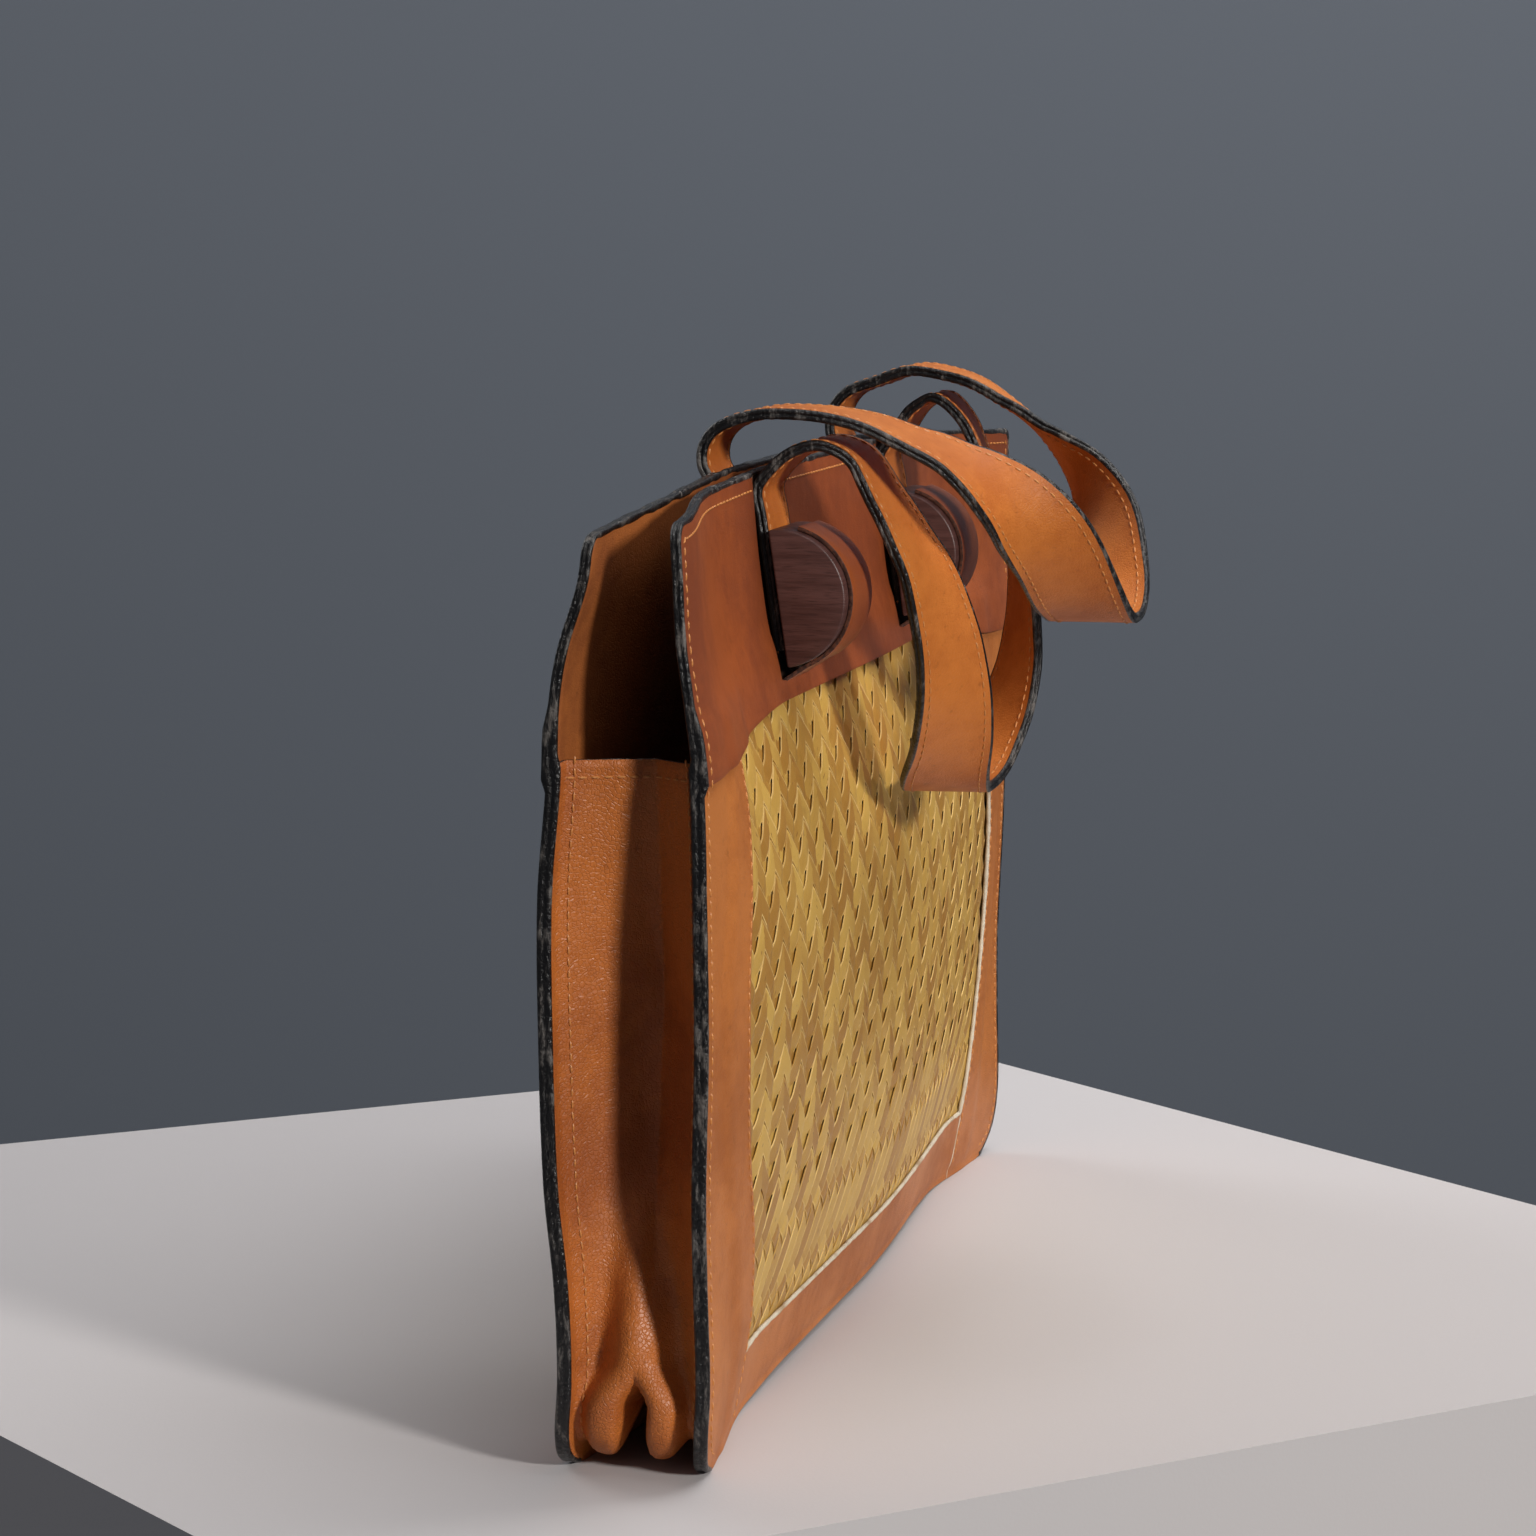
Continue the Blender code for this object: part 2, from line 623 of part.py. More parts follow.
def build():
    """Make every piece and hang them all on one empty, the bag's foot centre at the origin."""
    clear_scene()
    group = bpy.data.collections.new("straw_handbag")
    bpy.context.scene.collection.children.link(group)
    pieces = [gusset()]
    for side in (FRONT, BACK):
        pieces += [panel(side), straw(side), foot_strip(side), yoke(side), strap(side)]
        for end in (NEAR, FAR):
            pieces += [side_strip(side, end), wood(side, end)]
    root = bpy.data.objects.new("handbag", None)
    group.objects.link(root)
    for piece in pieces:
        group.objects.link(piece)
    bpy.context.view_layer.update()
    corners = []
    for piece in pieces:
        shape = piece.evaluated_get(bpy.context.evaluated_depsgraph_get())
        corners += [piece.matrix_world @ Vector(corner) for corner in shape.bound_box]
    lowest = [min(corner[axis] for corner in corners) for axis in range(3)]
    highest = [max(corner[axis] for corner in corners) for axis in range(3)]
    for piece in pieces:
        place = piece.matrix_world.copy()
        piece.parent = root
        piece.matrix_basis = place
    root.location = (-(lowest[0] + highest[0]) / 2, -(lowest[1] + highest[1]) / 2, -lowest[2])


build()
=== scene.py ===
# %% [markdown]
# # A straw handbag with leather edges, wooden half-rounds and flat handles
#
# This lesson dresses a finished CAD model of a flat handbag. The CAD part fixes the sizes, and
# this script adds what a camera sees: woven straw, stitched leather, painted edges and wood.
# Each step starts with a few words on what the piece is and why it is made the way it is.

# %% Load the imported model
import math

import bmesh
import bpy
from mathutils import Matrix, Vector, noise


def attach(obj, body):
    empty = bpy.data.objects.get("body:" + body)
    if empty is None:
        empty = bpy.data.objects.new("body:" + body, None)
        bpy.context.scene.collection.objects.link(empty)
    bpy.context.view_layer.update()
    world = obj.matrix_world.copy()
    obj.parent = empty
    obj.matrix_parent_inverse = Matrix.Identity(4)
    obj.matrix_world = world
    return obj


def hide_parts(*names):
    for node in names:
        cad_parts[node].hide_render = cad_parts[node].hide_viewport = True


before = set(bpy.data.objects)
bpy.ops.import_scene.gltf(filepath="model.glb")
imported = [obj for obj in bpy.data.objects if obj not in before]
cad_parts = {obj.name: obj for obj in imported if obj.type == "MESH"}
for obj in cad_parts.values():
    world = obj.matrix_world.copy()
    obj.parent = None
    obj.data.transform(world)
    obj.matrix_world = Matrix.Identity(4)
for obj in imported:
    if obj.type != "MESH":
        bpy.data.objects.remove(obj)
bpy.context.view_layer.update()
print("CAD nodes:", len(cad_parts))

# %% [markdown]
# ## Sizes
#
# The visible pieces have to lie where their CAD solids lie, so they share the CAD model's main
# sizes. Plies and gaps are a little thinner here, and the corners of the mouth are sharper, as
# in the photograph. All lengths are in metres. The bag was drawn around its own foot centre,
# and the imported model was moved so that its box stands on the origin: SHIFT is that move.

# %% Sizes of the bag
SHIFT = Vector((0.0, 0.028137, 0.000051))
WIDTH, HEIGHT, HALF_DEPTH = 0.400, 0.245, 0.0187
HALF = WIDTH / 2
TOP_CORNER, FOOT_CORNER = 0.005, 0.018
SIDE_STRIP, FOOT_STRIP = 0.042, 0.022
PANEL_WALL, LEATHER_WALL, STRAW_WALL, GAP = 0.0010, 0.0011, 0.0010, 0.0002
FRONT, BACK, NEAR, FAR = -1, 1, -1, 1
SIDE_NAMES, END_NAMES = {FRONT: "front", BACK: "back"}, {NEAR: "near", FAR: "far"}
print("bag:", WIDTH, "x", HEIGHT, "m")

# %% [markdown]
# ## The shape of the walls
#
# A soft bag has no flat walls: each one bulges, is drawn in at the foot and is pinched at the
# mouth. Two short tables say how far the front and the back wall stand out at a share of the
# height, one for the ends of the bag and one for its middle. A smooth curve runs through the
# rows of a table, so a dozen rows are enough.

# %% Wall tables
END_PROFILE = [(0.00, 0.84, 1.00), (0.04, 0.95, 0.91), (0.10, 1.01, 0.84), (0.20, 0.98, 0.88),
               (0.30, 0.96, 1.01), (0.45, 1.00, 1.07), (0.60, 0.98, 1.07), (0.72, 0.94, 0.94),
               (0.80, 0.82, 0.90), (0.87, 0.71, 0.77), (0.95, 0.66, 0.50), (1.00, 0.63, 0.42)]
MIDDLE_PROFILE = [(0.00, 0.42, 0.50), (0.06, 0.58, 0.62), (0.15, 0.84, 0.82), (0.30, 1.04, 1.02),
                  (0.50, 1.08, 1.08), (0.65, 0.82, 0.94), (0.78, 0.40, 0.70), (0.90, 0.15, 0.47),
                  (1.00, 0.03, 0.33)]


def mix(start, end, share):
    return start + (end - start) * share


def ease(share):
    share = min(max(share, 0.0), 1.0)
    return share * share * (3.0 - 2.0 * share)


def shares(count):
    return [step / count for step in range(count + 1)]


def read(table, at, column):
    """A column of a table at a place between its rows, on a smooth curve through them."""
    last = len(table) - 2
    row = 0
    while row < last and at > table[row + 1][0]:
        row += 1
    before, start = table[max(row - 1, 0)], table[row]
    end, after = table[row + 1], table[min(row + 2, last + 1)]
    span = end[0] - start[0]
    share = min(max((at - start[0]) / span, 0.0), 1.0)
    slope_in = (end[column] - before[column]) / (end[0] - before[0]) * span
    slope_out = (after[column] - start[column]) / (after[0] - start[0]) * span
    square, cube = share ** 2, share ** 3
    return ((2 * cube - 3 * square + 1) * start[column] + (cube - 2 * square + share) * slope_in
            + (3 * square - 2 * cube) * end[column] + (cube - square) * slope_out)


print("wall rows:", len(END_PROFILE), "at the ends and", len(MIDDLE_PROFILE), "in the middle")

# %% [markdown]
# Everything on a wall is placed by the same few functions. The first ones say how wide the
# panel is at a height and where its inner face stands. The foot rises off the table between
# the ends, the mouth sags towards its corners, and the foot of the far end is twisted back, as
# happens when a soft bag is set down.

# %% Where the walls stand
END_REACH, BASE_LIFT = 0.075, 0.0025
FAR_TWIST, TWIST_POWER = 0.0095, 2.4
MOUTH_SAG, SAG_POWER = {FRONT: 0.005, BACK: 0.0085}, 1.15
SAG_START, SAG_LOW, SAG_RUN = 0.075, 0.76, 0.24
FOOT_STEP = FOOT_CORNER * (1.0 - math.cos(math.pi / 6))


def half_width(z):
    """Half the panel's width at a height, which is less in its rounded corners."""
    for corner, rise in ((FOOT_CORNER, FOOT_CORNER - max(z, 0.0)),
                         (TOP_CORNER, min(z, HEIGHT) - (HEIGHT - TOP_CORNER))):
        if rise > 0.0:
            return HALF - corner + math.sqrt(max(corner ** 2 - rise ** 2, 0.0))
    return HALF


def lift(x, z):
    """The foot rises off the table between the two side strips."""
    share = ease((HALF - SIDE_STRIP - abs(x)) / END_REACH)
    return BASE_LIFT * share * max(0.0, 1.0 - z / FOOT_STRIP)


def sag(side, x, z):
    """The mouth drops towards its corners, the back one further."""
    outwards = min(max((abs(x) - SAG_START) / (HALF - SAG_START), 0.0), 1.0)
    return MOUTH_SAG[side] * outwards ** SAG_POWER * ease((z / HEIGHT - SAG_LOW) / SAG_RUN)


def wall_y(side, x, z, out=0.0):
    """Where a wall's inner face stands, or a layer that lies out from it."""
    column = 1 if side == FRONT else 2
    height = min(max(z, FOOT_STEP) / HEIGHT, 1.0)
    inwards = ease((HALF - abs(x)) / END_REACH)
    share = mix(read(END_PROFILE, height, column), read(MIDDLE_PROFILE, height, column), inwards)
    twist = FAR_TWIST * ease(x / HALF) * (1.0 - height ** TWIST_POWER)
    return side * (share * HALF_DEPTH + out) + twist


def on_wall(side, x, z, out):
    """A point of a layer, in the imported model's frame."""
    return Vector((x, wall_y(side, x, z, out), z + lift(x, z) - sag(side, x, z))) + SHIFT


print("front wall at mid-height:", [round(v, 4) for v in on_wall(FRONT, 0.0, HEIGHT / 2, 0.0)])

# %% [markdown]
# The layers on a wall overlap: the straw lies on the panel, the borders on the straw, and the
# yoke on both. Where the layer below ends, the one above comes down to the wall on a short
# ramp. A layer is therefore placed by adding up what lies under it. The inner edge of a side
# border is cut by hand and bows outwards at mid-height.

# %% Edges of the layers
BORDER_EDGE = [(0.00, 0.0490), (0.12, 0.0485), (0.22, 0.0440), (0.32, 0.0370), (0.42, 0.0345),
               (0.51, 0.0355), (0.60, 0.0430), (0.68, 0.0490), (0.76, 0.0510), (1.00, 0.0510)]
YOKE_DROP, YOKE_DIP, DIP_START, DIP_END = 0.061, 0.008, 0.42, 0.92
LAP, YOKE_LAP, LEAD, RAMP = 0.007, 0.004, 0.007, 0.010


def yoke_low(x):
    """The lower edge of the yoke, which dips towards the ends of the bag."""
    dip = ease((abs(x) / HALF - DIP_START) / (DIP_END - DIP_START))
    return HEIGHT - YOKE_DROP - YOKE_DIP * dip


def strip_inner(z):
    """The inner edge of a side border."""
    return HALF - read(BORDER_EDGE, z / HEIGHT, 1)


def ramp_inside(distance):
    return 1.0 - ease((distance - LEAD) / RAMP)


def straw_lift(x, z):
    """How far the straw pushes out what lies on it."""
    sideways = abs(x) - (strip_inner(z) + LAP)
    below = (FOOT_STRIP - LAP) - max(z, FOOT_STEP)
    above = z - (yoke_low(x) + YOKE_LAP)
    return (STRAW_WALL + GAP) * ramp_inside(sideways) * ramp_inside(below) * ramp_inside(above)


def strip_lift(x, z):
    """How far a side border pushes out the yoke."""
    inside = strip_inner(z) - abs(x)
    above = z - (yoke_low(x) + YOKE_LAP)
    return (LEATHER_WALL + GAP) * ramp_inside(inside) * ramp_inside(above)


def strip_out(x, z):
    """How far out the inner face of a border lies."""
    return PANEL_WALL + GAP + straw_lift(x, z)


def yoke_out(x, z):
    """How far out the inner face of the yoke lies."""
    return strip_out(x, z) + strip_lift(x, z)


print("yoke's lower edge, middle and end:", round(yoke_low(0.0), 4), round(yoke_low(HALF), 4))

# %% [markdown]
# ## Node maths written as Python
#
# A material is a graph of nodes, and long graphs are hard to read. Wire wraps a socket, so that
# sums and products of wires add Math nodes by themselves. Nodes has one method, add, that makes
# any other node from its type, its settings and the values or wires for its sockets. Its other
# methods are short names for the nodes that come back often.


# %% Wires and nodes
class Wire:
    """A node's output, on which Python's arithmetic adds Math nodes."""

    def __init__(self, nodes, socket):
        self.nodes, self.socket = nodes, socket

    def math(self, operation, *others):
        return self.nodes.add("ShaderNodeMath", {"operation": operation},
                              dict(enumerate((self,) + others)))

    def __add__(self, other):
        return self.math("ADD", other)

    def __mul__(self, other):
        return self.math("MULTIPLY", other)

    def __sub__(self, other):
        return self.math("SUBTRACT", other)

    def __rsub__(self, other):
        return self * -1.0 + other

    def __truediv__(self, other):
        return self.math("DIVIDE", other)

    def __mod__(self, other):
        return self.math("FLOORED_MODULO", other)

    __radd__, __rmul__ = __add__, __mul__

    def between(self, low, high):
        """0 below low, 1 above high, and a smooth step between them."""
        return self.nodes.add("ShaderNodeMapRange", {"interpolation_type": "SMOOTHSTEP"},
                              {0: self, 1: low, 2: high, 3: 0.0, 4: 1.0})

    def parts(self):
        """The three numbers of a vector."""
        made = self.nodes.add("ShaderNodeSeparateXYZ", {}, {0: self})
        return [Wire(self.nodes, socket) for socket in made.socket.node.outputs]


class Nodes:
    """Adds nodes to one tree."""

    def __init__(self, tree):
        self.tree = tree

    def add(self, kind, settings=None, sockets=None, output=0):
        made = self.tree.nodes.new(kind)
        for name, value in (settings or {}).items():
            setattr(made, name, value)
        for name, value in (sockets or {}).items():
            if isinstance(value, Wire):
                self.tree.links.new(value.socket, made.inputs[name])
            else:
                made.inputs[name].default_value = value
        return Wire(self, made.outputs[output]) if made.outputs else made

    def colours(self, start, end, share):
        ends = {6: start if isinstance(start, Wire) else (*start, 1.0),
                7: end if isinstance(end, Wire) else (*end, 1.0)}
        return self.add("ShaderNodeMix", {"data_type": "RGBA"}, {0: share, **ends}, 2)

    def noise(self, place, scale, detail=3.0, rough=0.55):
        return self.add("ShaderNodeTexNoise", {}, {"Vector": place, "Scale": scale,
                                                   "Detail": detail, "Roughness": rough})

    def cells(self, place, scale):
        return self.add("ShaderNodeTexVoronoi", {"feature": "DISTANCE_TO_EDGE"},
                        {"Vector": place, "Scale": scale})

    def stretched(self, place, scale):
        return self.add("ShaderNodeMapping", {}, {"Vector": place, "Scale": scale})


print("node helpers are ready")


# %% [markdown]
# Every finish ends the same way: a colour, a roughness and a height that bumps the surface.
# Values that never change over the surface, such as a coat, are set on the shader's own sockets.


# %% One way to finish a material
def finish(name, make, **constants):
    """A Principled material. make(nodes, place) gives its colour, roughness, height and depth."""
    made = bpy.data.materials.new(name)
    made.use_nodes = True
    nodes = Nodes(made.node_tree)
    shader = made.node_tree.nodes["Principled BSDF"]
    place = nodes.add("ShaderNodeTexCoord", output="Object")
    colour, roughness, height, depth = make(nodes, place)
    bump = nodes.add("ShaderNodeBump", {}, {"Height": height, "Distance": depth, "Strength": 1.0})
    for socket, value in (("Base Color", colour), ("Roughness", roughness), ("Normal", bump)):
        nodes.tree.links.new(value.socket, shader.inputs[socket])
    for socket, value in constants.items():
        shader.inputs[socket.replace("_", " ")].default_value = value
    return made


print("finish() builds each material")

# %% [markdown]
# ## Leather
#
# Vegetable-tanned leather is never one colour. Clouds of tone come from how the hide took the
# dye, small flecks and spots from handling, and its grain is a net of fine cells. They are
# noises of very different scale, where a scale of 100 gives blobs of about a centimetre.
# Handling polishes the high spots, so tone also moves the roughness a little. All five leathers
# share this recipe, and differ in colour, in shine and in how deep they wrinkle.


# %% Leather finishes
def leather(name, pale, deep, rough, grain=0.00012, wrinkle=0.0, **constants):
    def make(nodes, place):
        cloud = nodes.noise(place, 19.0, 4.0)
        fleck = nodes.noise(place, 170.0, 5.0, 0.7)
        tone = (cloud * 0.7 + fleck * 0.3).between(0.36, 0.64)
        colour = nodes.colours(deep, pale, tone)
        spots = nodes.noise(place, 420.0, 2.0).between(0.60, 0.78)
        colour = nodes.colours(colour, [c * 0.55 for c in deep], spots * 0.35)
        net = nodes.cells(place, 950.0).between(0.0, 0.16)
        fold = nodes.noise(nodes.stretched(place, (1.0, 1.0, 0.45)), 95.0, 4.0, 0.6)
        height = net * 0.35 + nodes.noise(place, 700.0, 3.0) * 0.5 + fold * wrinkle
        return colour, (1.0 - tone) * 0.12 + fleck * 0.08 + rough, height, grain
    return finish(name, make, **constants)


DULL = {"Specular_IOR_Level": 0.32}
strap_leather = leather("strap_leather", (0.60, 0.185, 0.032), (0.44, 0.115, 0.016), 0.40,
                        wrinkle=0.8, **DULL)
yoke_leather = leather("yoke_leather", (0.32, 0.074, 0.016), (0.20, 0.042, 0.010), 0.34,
                       grain=0.00008, wrinkle=1.2)
border_leather = leather("border_leather", (0.50, 0.165, 0.036), (0.35, 0.102, 0.020), 0.40,
                         wrinkle=0.9, **DULL)
gusset_leather = leather("gusset_leather", (0.52, 0.150, 0.026), (0.33, 0.080, 0.012), 0.36,
                         grain=0.00026, wrinkle=2.6)
lining_leather = leather("lining_leather", (0.36, 0.110, 0.024), (0.22, 0.060, 0.013), 0.52,
                         **DULL)
print("leather finishes:", len([m for m in bpy.data.materials if m.name.endswith("_leather")]))


# %% [markdown]
# ## Edges and thread
#
# The cut edge of the stacked leather is sealed with thick black paint, which has rubbed grey
# where it was touched. The single edges of the yokes and the near borders are burnished dark
# brown, and those of the foot and far borders were left raw and show cream fibre. The thread is
# a waxed orange-brown.


# %% Edge paint, raw edge and thread
def painted_edge(nodes, place):
    streak = nodes.noise(nodes.stretched(place, (1.0, 1.0, 0.30)), 420.0, 6.0, 0.75)
    patch = nodes.noise(place, 60.0, 3.0)
    scuff = (streak * 0.75 + patch * 0.25).between(0.50, 0.63)
    colour = nodes.colours((0.006, 0.005, 0.005), (0.22, 0.195, 0.175), scuff * 0.65)
    return colour, scuff * 0.35 + 0.28, streak + nodes.cells(place, 500.0) * 0.8, 0.0005


def burnished_edge(nodes, place):
    fibre = nodes.noise(place, 700.0, 5.0, 0.7)
    colour = nodes.colours((0.035, 0.012, 0.008), (0.16, 0.055, 0.028), fibre.between(0.4, 0.7))
    return colour, fibre * 0.2 + 0.45, fibre, 0.0002


def raw_edge(nodes, place):
    fibre = nodes.noise(place, 900.0, 6.0, 0.8)
    stain = nodes.noise(place, 90.0, 3.0).between(0.45, 0.7)
    colour = nodes.colours((0.66, 0.58, 0.45), (0.42, 0.30, 0.18), stain)
    return colour, fibre * 0.2 + 0.65, fibre, 0.0003


def waxed_thread(nodes, place):
    twist = nodes.noise(place, 1500.0, 2.0)
    colour = nodes.colours((0.40, 0.130, 0.028), (0.70, 0.30, 0.085), twist)
    return colour, twist * 0.1 + 0.42, twist, 0.0001


edge_paint = finish("edge_paint", painted_edge)
burnished = finish("burnished_edge", burnished_edge)
raw_leather = finish("raw_leather", raw_edge)
thread = finish("waxed_thread", waxed_thread)
print("edge and thread finishes are ready")


# %% [markdown]
# ## Straw and wood
#
# Each straw strip is a split leaf: gold, with fibre lines along it, paler edges that are a painted
# highlight, and a tone of its own that wanders along its length. The strip's own measures come
# with the mesh, as attributes, because the pattern has to follow each strip and not the room.
#
# The wood is dark and close-grained, with short pores along the grain. A dark cloth behind the
# straw is painted shade: it stands for the shade that the gaps of the weave let through.


# %% Straw and wood finishes
def straw_strip(nodes, place):
    fibre = nodes.add("ShaderNodeAttribute", {"attribute_name": "fibre"}, output="Vector")
    tone = nodes.add("ShaderNodeAttribute", {"attribute_name": "tone"}, output="Fac")
    across = fibre.parts()[1].math("ABSOLUTE")
    lines = nodes.noise(nodes.stretched(fibre, (18.0, 7.0, 31.0)), 1.0, 4.0, 0.7)
    patch = nodes.noise(nodes.stretched(fibre, (42.0, 0.2, 13.0)), 1.0, 2.0)
    shade = (tone * 0.75 + patch * 0.70 + lines * 0.35 - 0.38).between(0.10, 0.95)
    colour = nodes.colours((0.36, 0.170, 0.026), (0.57, 0.345, 0.072), shade)
    colour = nodes.colours(colour, (0.20, 0.068, 0.010), patch.between(0.62, 0.80) * 0.75)
    # Paler strip edges: a painted highlight along both edges of each strip.
    pale = across.between(0.80, 0.95) * lines.between(0.40, 0.58)
    colour = nodes.colours(colour, (0.84, 0.60, 0.24), pale * 0.85)
    fleck = nodes.noise(nodes.stretched(fibre, (260.0, 2.2, 17.0)), 1.0, 2.0)
    colour = nodes.colours(colour, (0.16, 0.055, 0.010), fleck.between(0.66, 0.74) * 0.8)
    return colour, lines * 0.2 + 0.36, lines, 0.00012


def close_grain(nodes, place):
    grain = nodes.noise(nodes.stretched(place, (30.0, 45.0, 620.0)), 1.0, 5.0, 0.65)
    pores = nodes.noise(nodes.stretched(place, (300.0, 160.0, 2100.0)), 1.0, 2.0)
    colour = nodes.colours((0.058, 0.022, 0.018), (0.105, 0.045, 0.038), grain.between(0.3, 0.7))
    colour = nodes.colours(colour, (0.034, 0.012, 0.010), pores.between(0.54, 0.68) * 0.6)
    return colour, pores * 0.15 + 0.34, grain + pores * -0.8, 0.0001


# Painted shade: a dark sheet behind the straw for the shade in the gaps of the weave.
def gap_shade_cloth(nodes, place):
    weft = nodes.noise(place, 800.0, 2.0)
    colour = nodes.colours((0.035, 0.016, 0.008), (0.07, 0.032, 0.014), weft)
    return colour, weft * 0.1 + 0.8, weft, 0.0001


woven_straw = finish("woven_straw", straw_strip)
dark_wood = finish("dark_wood", close_grain)
painted_shade_backing = finish("backing_cloth", gap_shade_cloth)
print("materials so far:", len(bpy.data.materials))

# %% [markdown]
# ## Turning grids into leather
#
# Every piece ends the same way. Its modifiers are baked into a plain mesh, it rides on the bag's
# one body, and the CAD nodes that it stands for are hidden. keep() does all of that, so no piece
# can forget a step.


# %% Keeping a piece
def keep(piece, slot, *nodes):
    """Bakes the modifiers into the mesh and hangs the piece on the bag."""
    bpy.context.view_layer.update()
    graph = bpy.context.evaluated_depsgraph_get()
    baked = bpy.data.meshes.new_from_object(piece.evaluated_get(graph),
                                            preserve_all_data_layers=True, depsgraph=graph)
    piece.modifiers.clear()
    piece.data = baked
    baked.name = piece.name
    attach(piece, "root")
    if nodes:
        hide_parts(*nodes)
    print(f"{piece.name}: {len(baked.polygons)} faces")
    return piece


def show(name, mesh, *materials):
    made = bpy.data.objects.new(name, mesh)
    bpy.context.scene.collection.objects.link(made)
    for material in materials:
        made.data.materials.append(material)
    mesh.shade_smooth()
    return made


def mesh_of(name, bm):
    mesh = bpy.data.meshes.new(name)
    bm.to_mesh(mesh)
    bm.free()
    return mesh


print("keep() and show() are ready")

# %% [markdown]
# A leather piece is cut flat and keeps its thickness everywhere, so it is made as a grid of
# faces and thickened by Solidify, which also closes its rim. Bars, straps and beads are swept
# instead: their section is drawn again and again along a path, as rings of points.


# %% Sheets and rings
def sheet(name, columns, rows, place, wall, materials, flip=False, skip=(), extra=None):
    """A grid of faces with a wall's thickness outwards. materials are the face and the rim."""
    bm = bmesh.new()
    grid = {}

    def vertex(i, j):
        if (i, j) not in grid:
            grid[i, j] = bm.verts.new(place(columns[i], rows[j]))
        return grid[i, j]

    for i in range(len(columns) - 1):
        for j in range(len(rows) - 1):
            if (i, j) not in skip:
                corners = [vertex(i, j), vertex(i + 1, j), vertex(i + 1, j + 1), vertex(i, j + 1)]
                bm.faces.new(corners[::-1] if flip else corners)
    if extra:
        extra(bm, vertex)
    made = show(name, mesh_of(name, bm), *materials)
    thicken = made.modifiers.new("wall", "SOLIDIFY")
    thicken.thickness, thicken.offset = wall, 1.0
    thicken.use_even_offset = thicken.use_quality_normals = True
    thicken.material_offset_rim = len(materials) - 1
    return made


def rings(name, loops, *materials, pick=None):
    """A closed tube through loops of points, with flat ends. pick chooses a strip's material."""
    bm = bmesh.new()
    made = [[bm.verts.new(spot) for spot in loop] for loop in loops]
    count = len(loops[0])
    for here, there in zip(made, made[1:]):
        for k in range(count):
            face = bm.faces.new([here[k], here[(k + 1) % count], there[(k + 1) % count], there[k]])
            face.material_index = pick(k) if pick else 0
    bm.faces.new(made[0][::-1])
    bm.faces.new(made[-1])
    bmesh.ops.recalc_face_normals(bm, faces=bm.faces)
    return show(name, mesh_of(name, bm), *materials)


print("sheet() and rings() are ready")

# %% [markdown]
# ## Panels
#
# The two inner panels carry everything else. Only their inside shows, in the mouth. A dark
# cloth on their outer face, behind the straw, is painted shade: it is what the small gaps of
# the weave let through.


# %% Inner panels
CORNER_STEPS, LEAST_STEP, PANEL_COLUMNS = 8, 0.00015, 90


def spread(count):
    """Even places from -1 to 1."""
    return [mix(-1.0, 1.0, s) for s in shares(count)]


def heights(low, high, step=0.004):
    """Heights between two limits, closer together round the panel's corners."""
    even = [mix(low, high, s) for s in shares(max(2, round((high - low) / step)))]
    turn = [1 - math.cos(s * math.pi / 2) for s in shares(CORNER_STEPS)[1:]]
    corners = [FOOT_CORNER * s for s in turn] + [HEIGHT - TOP_CORNER * s for s in turn]
    found = sorted({round(z, 6) for z in even + corners if low <= z <= high})
    return [z for k, z in enumerate(found)
            if k == 0 or z - found[k - 1] > LEAST_STEP or z == high]


def make_panel(side):
    def place(share, z):
        return on_wall(side, share * half_width(z), z, 0.0)

    name = SIDE_NAMES[side]
    made = keep(sheet(f"{name}_lining", spread(PANEL_COLUMNS), heights(0.0, HEIGHT), place,
                      PANEL_WALL, (lining_leather, painted_shade_backing), flip=side == BACK),
                "lining_leather", f"{name}_panel")
    # Faces that look out get the dark cloth, which is painted shade behind the weave.
    for face in made.data.polygons:
        face.material_index = int(face.normal.y * side > 0.3)


for side in (FRONT, BACK):
    make_panel(side)

# %% [markdown]
# ## Woven straw
#
# The mat is a two-over, two-under twill laid on the bias, so its strips run at 45 degrees and
# the steps of the twill stand in upright columns. Near the foot the pattern changes: one set
# of strips floats over three and dips under one, which leaves two rows of small dark nicks.
#
# A weave follows a rule, so Geometry Nodes lay it. Two families of flat strips are made in the
# plane, each strip goes up and down as the pattern says, and Sample UV Surface carries every
# point onto the curved wall. Whatever falls outside the window has no surface to land on, and
# is deleted.


# %% The weave's rule
def lattice(own, along, near_foot):
    """1 where the falling strips lie over, for integer places own and along, and -1 elsewhere."""
    twill = ((along - own) % 4.0).math("LESS_THAN", 1.5)
    nick = ((along + own) % 4.0).math("LESS_THAN", 0.5)
    low = (along + own).math("LESS_THAN", near_foot)
    over = low * nick + (1.0 - low) * twill
    return over * 2.0 - 1.0


def wave(own, along, near_foot, sign):
    """A strip's height, from -1 to 1, eased between the crossings on either side."""
    start = along.math("FLOOR")
    share = (along - start).between(0.12, 0.88)
    here = lattice(own, start, near_foot)
    there = lattice(own, start + 1.0, near_foot)
    return (here + (there - here) * share) * sign


print("twill of four, with a border of one in four")


# %% [markdown]
# Both node trees of this lesson begin with named inputs and end in Realize Instances and Set
# Material, so two helpers take that up. Three more shorten the nodes that a tree uses often:
# a vector from three numbers, and an attribute that is stored or read.


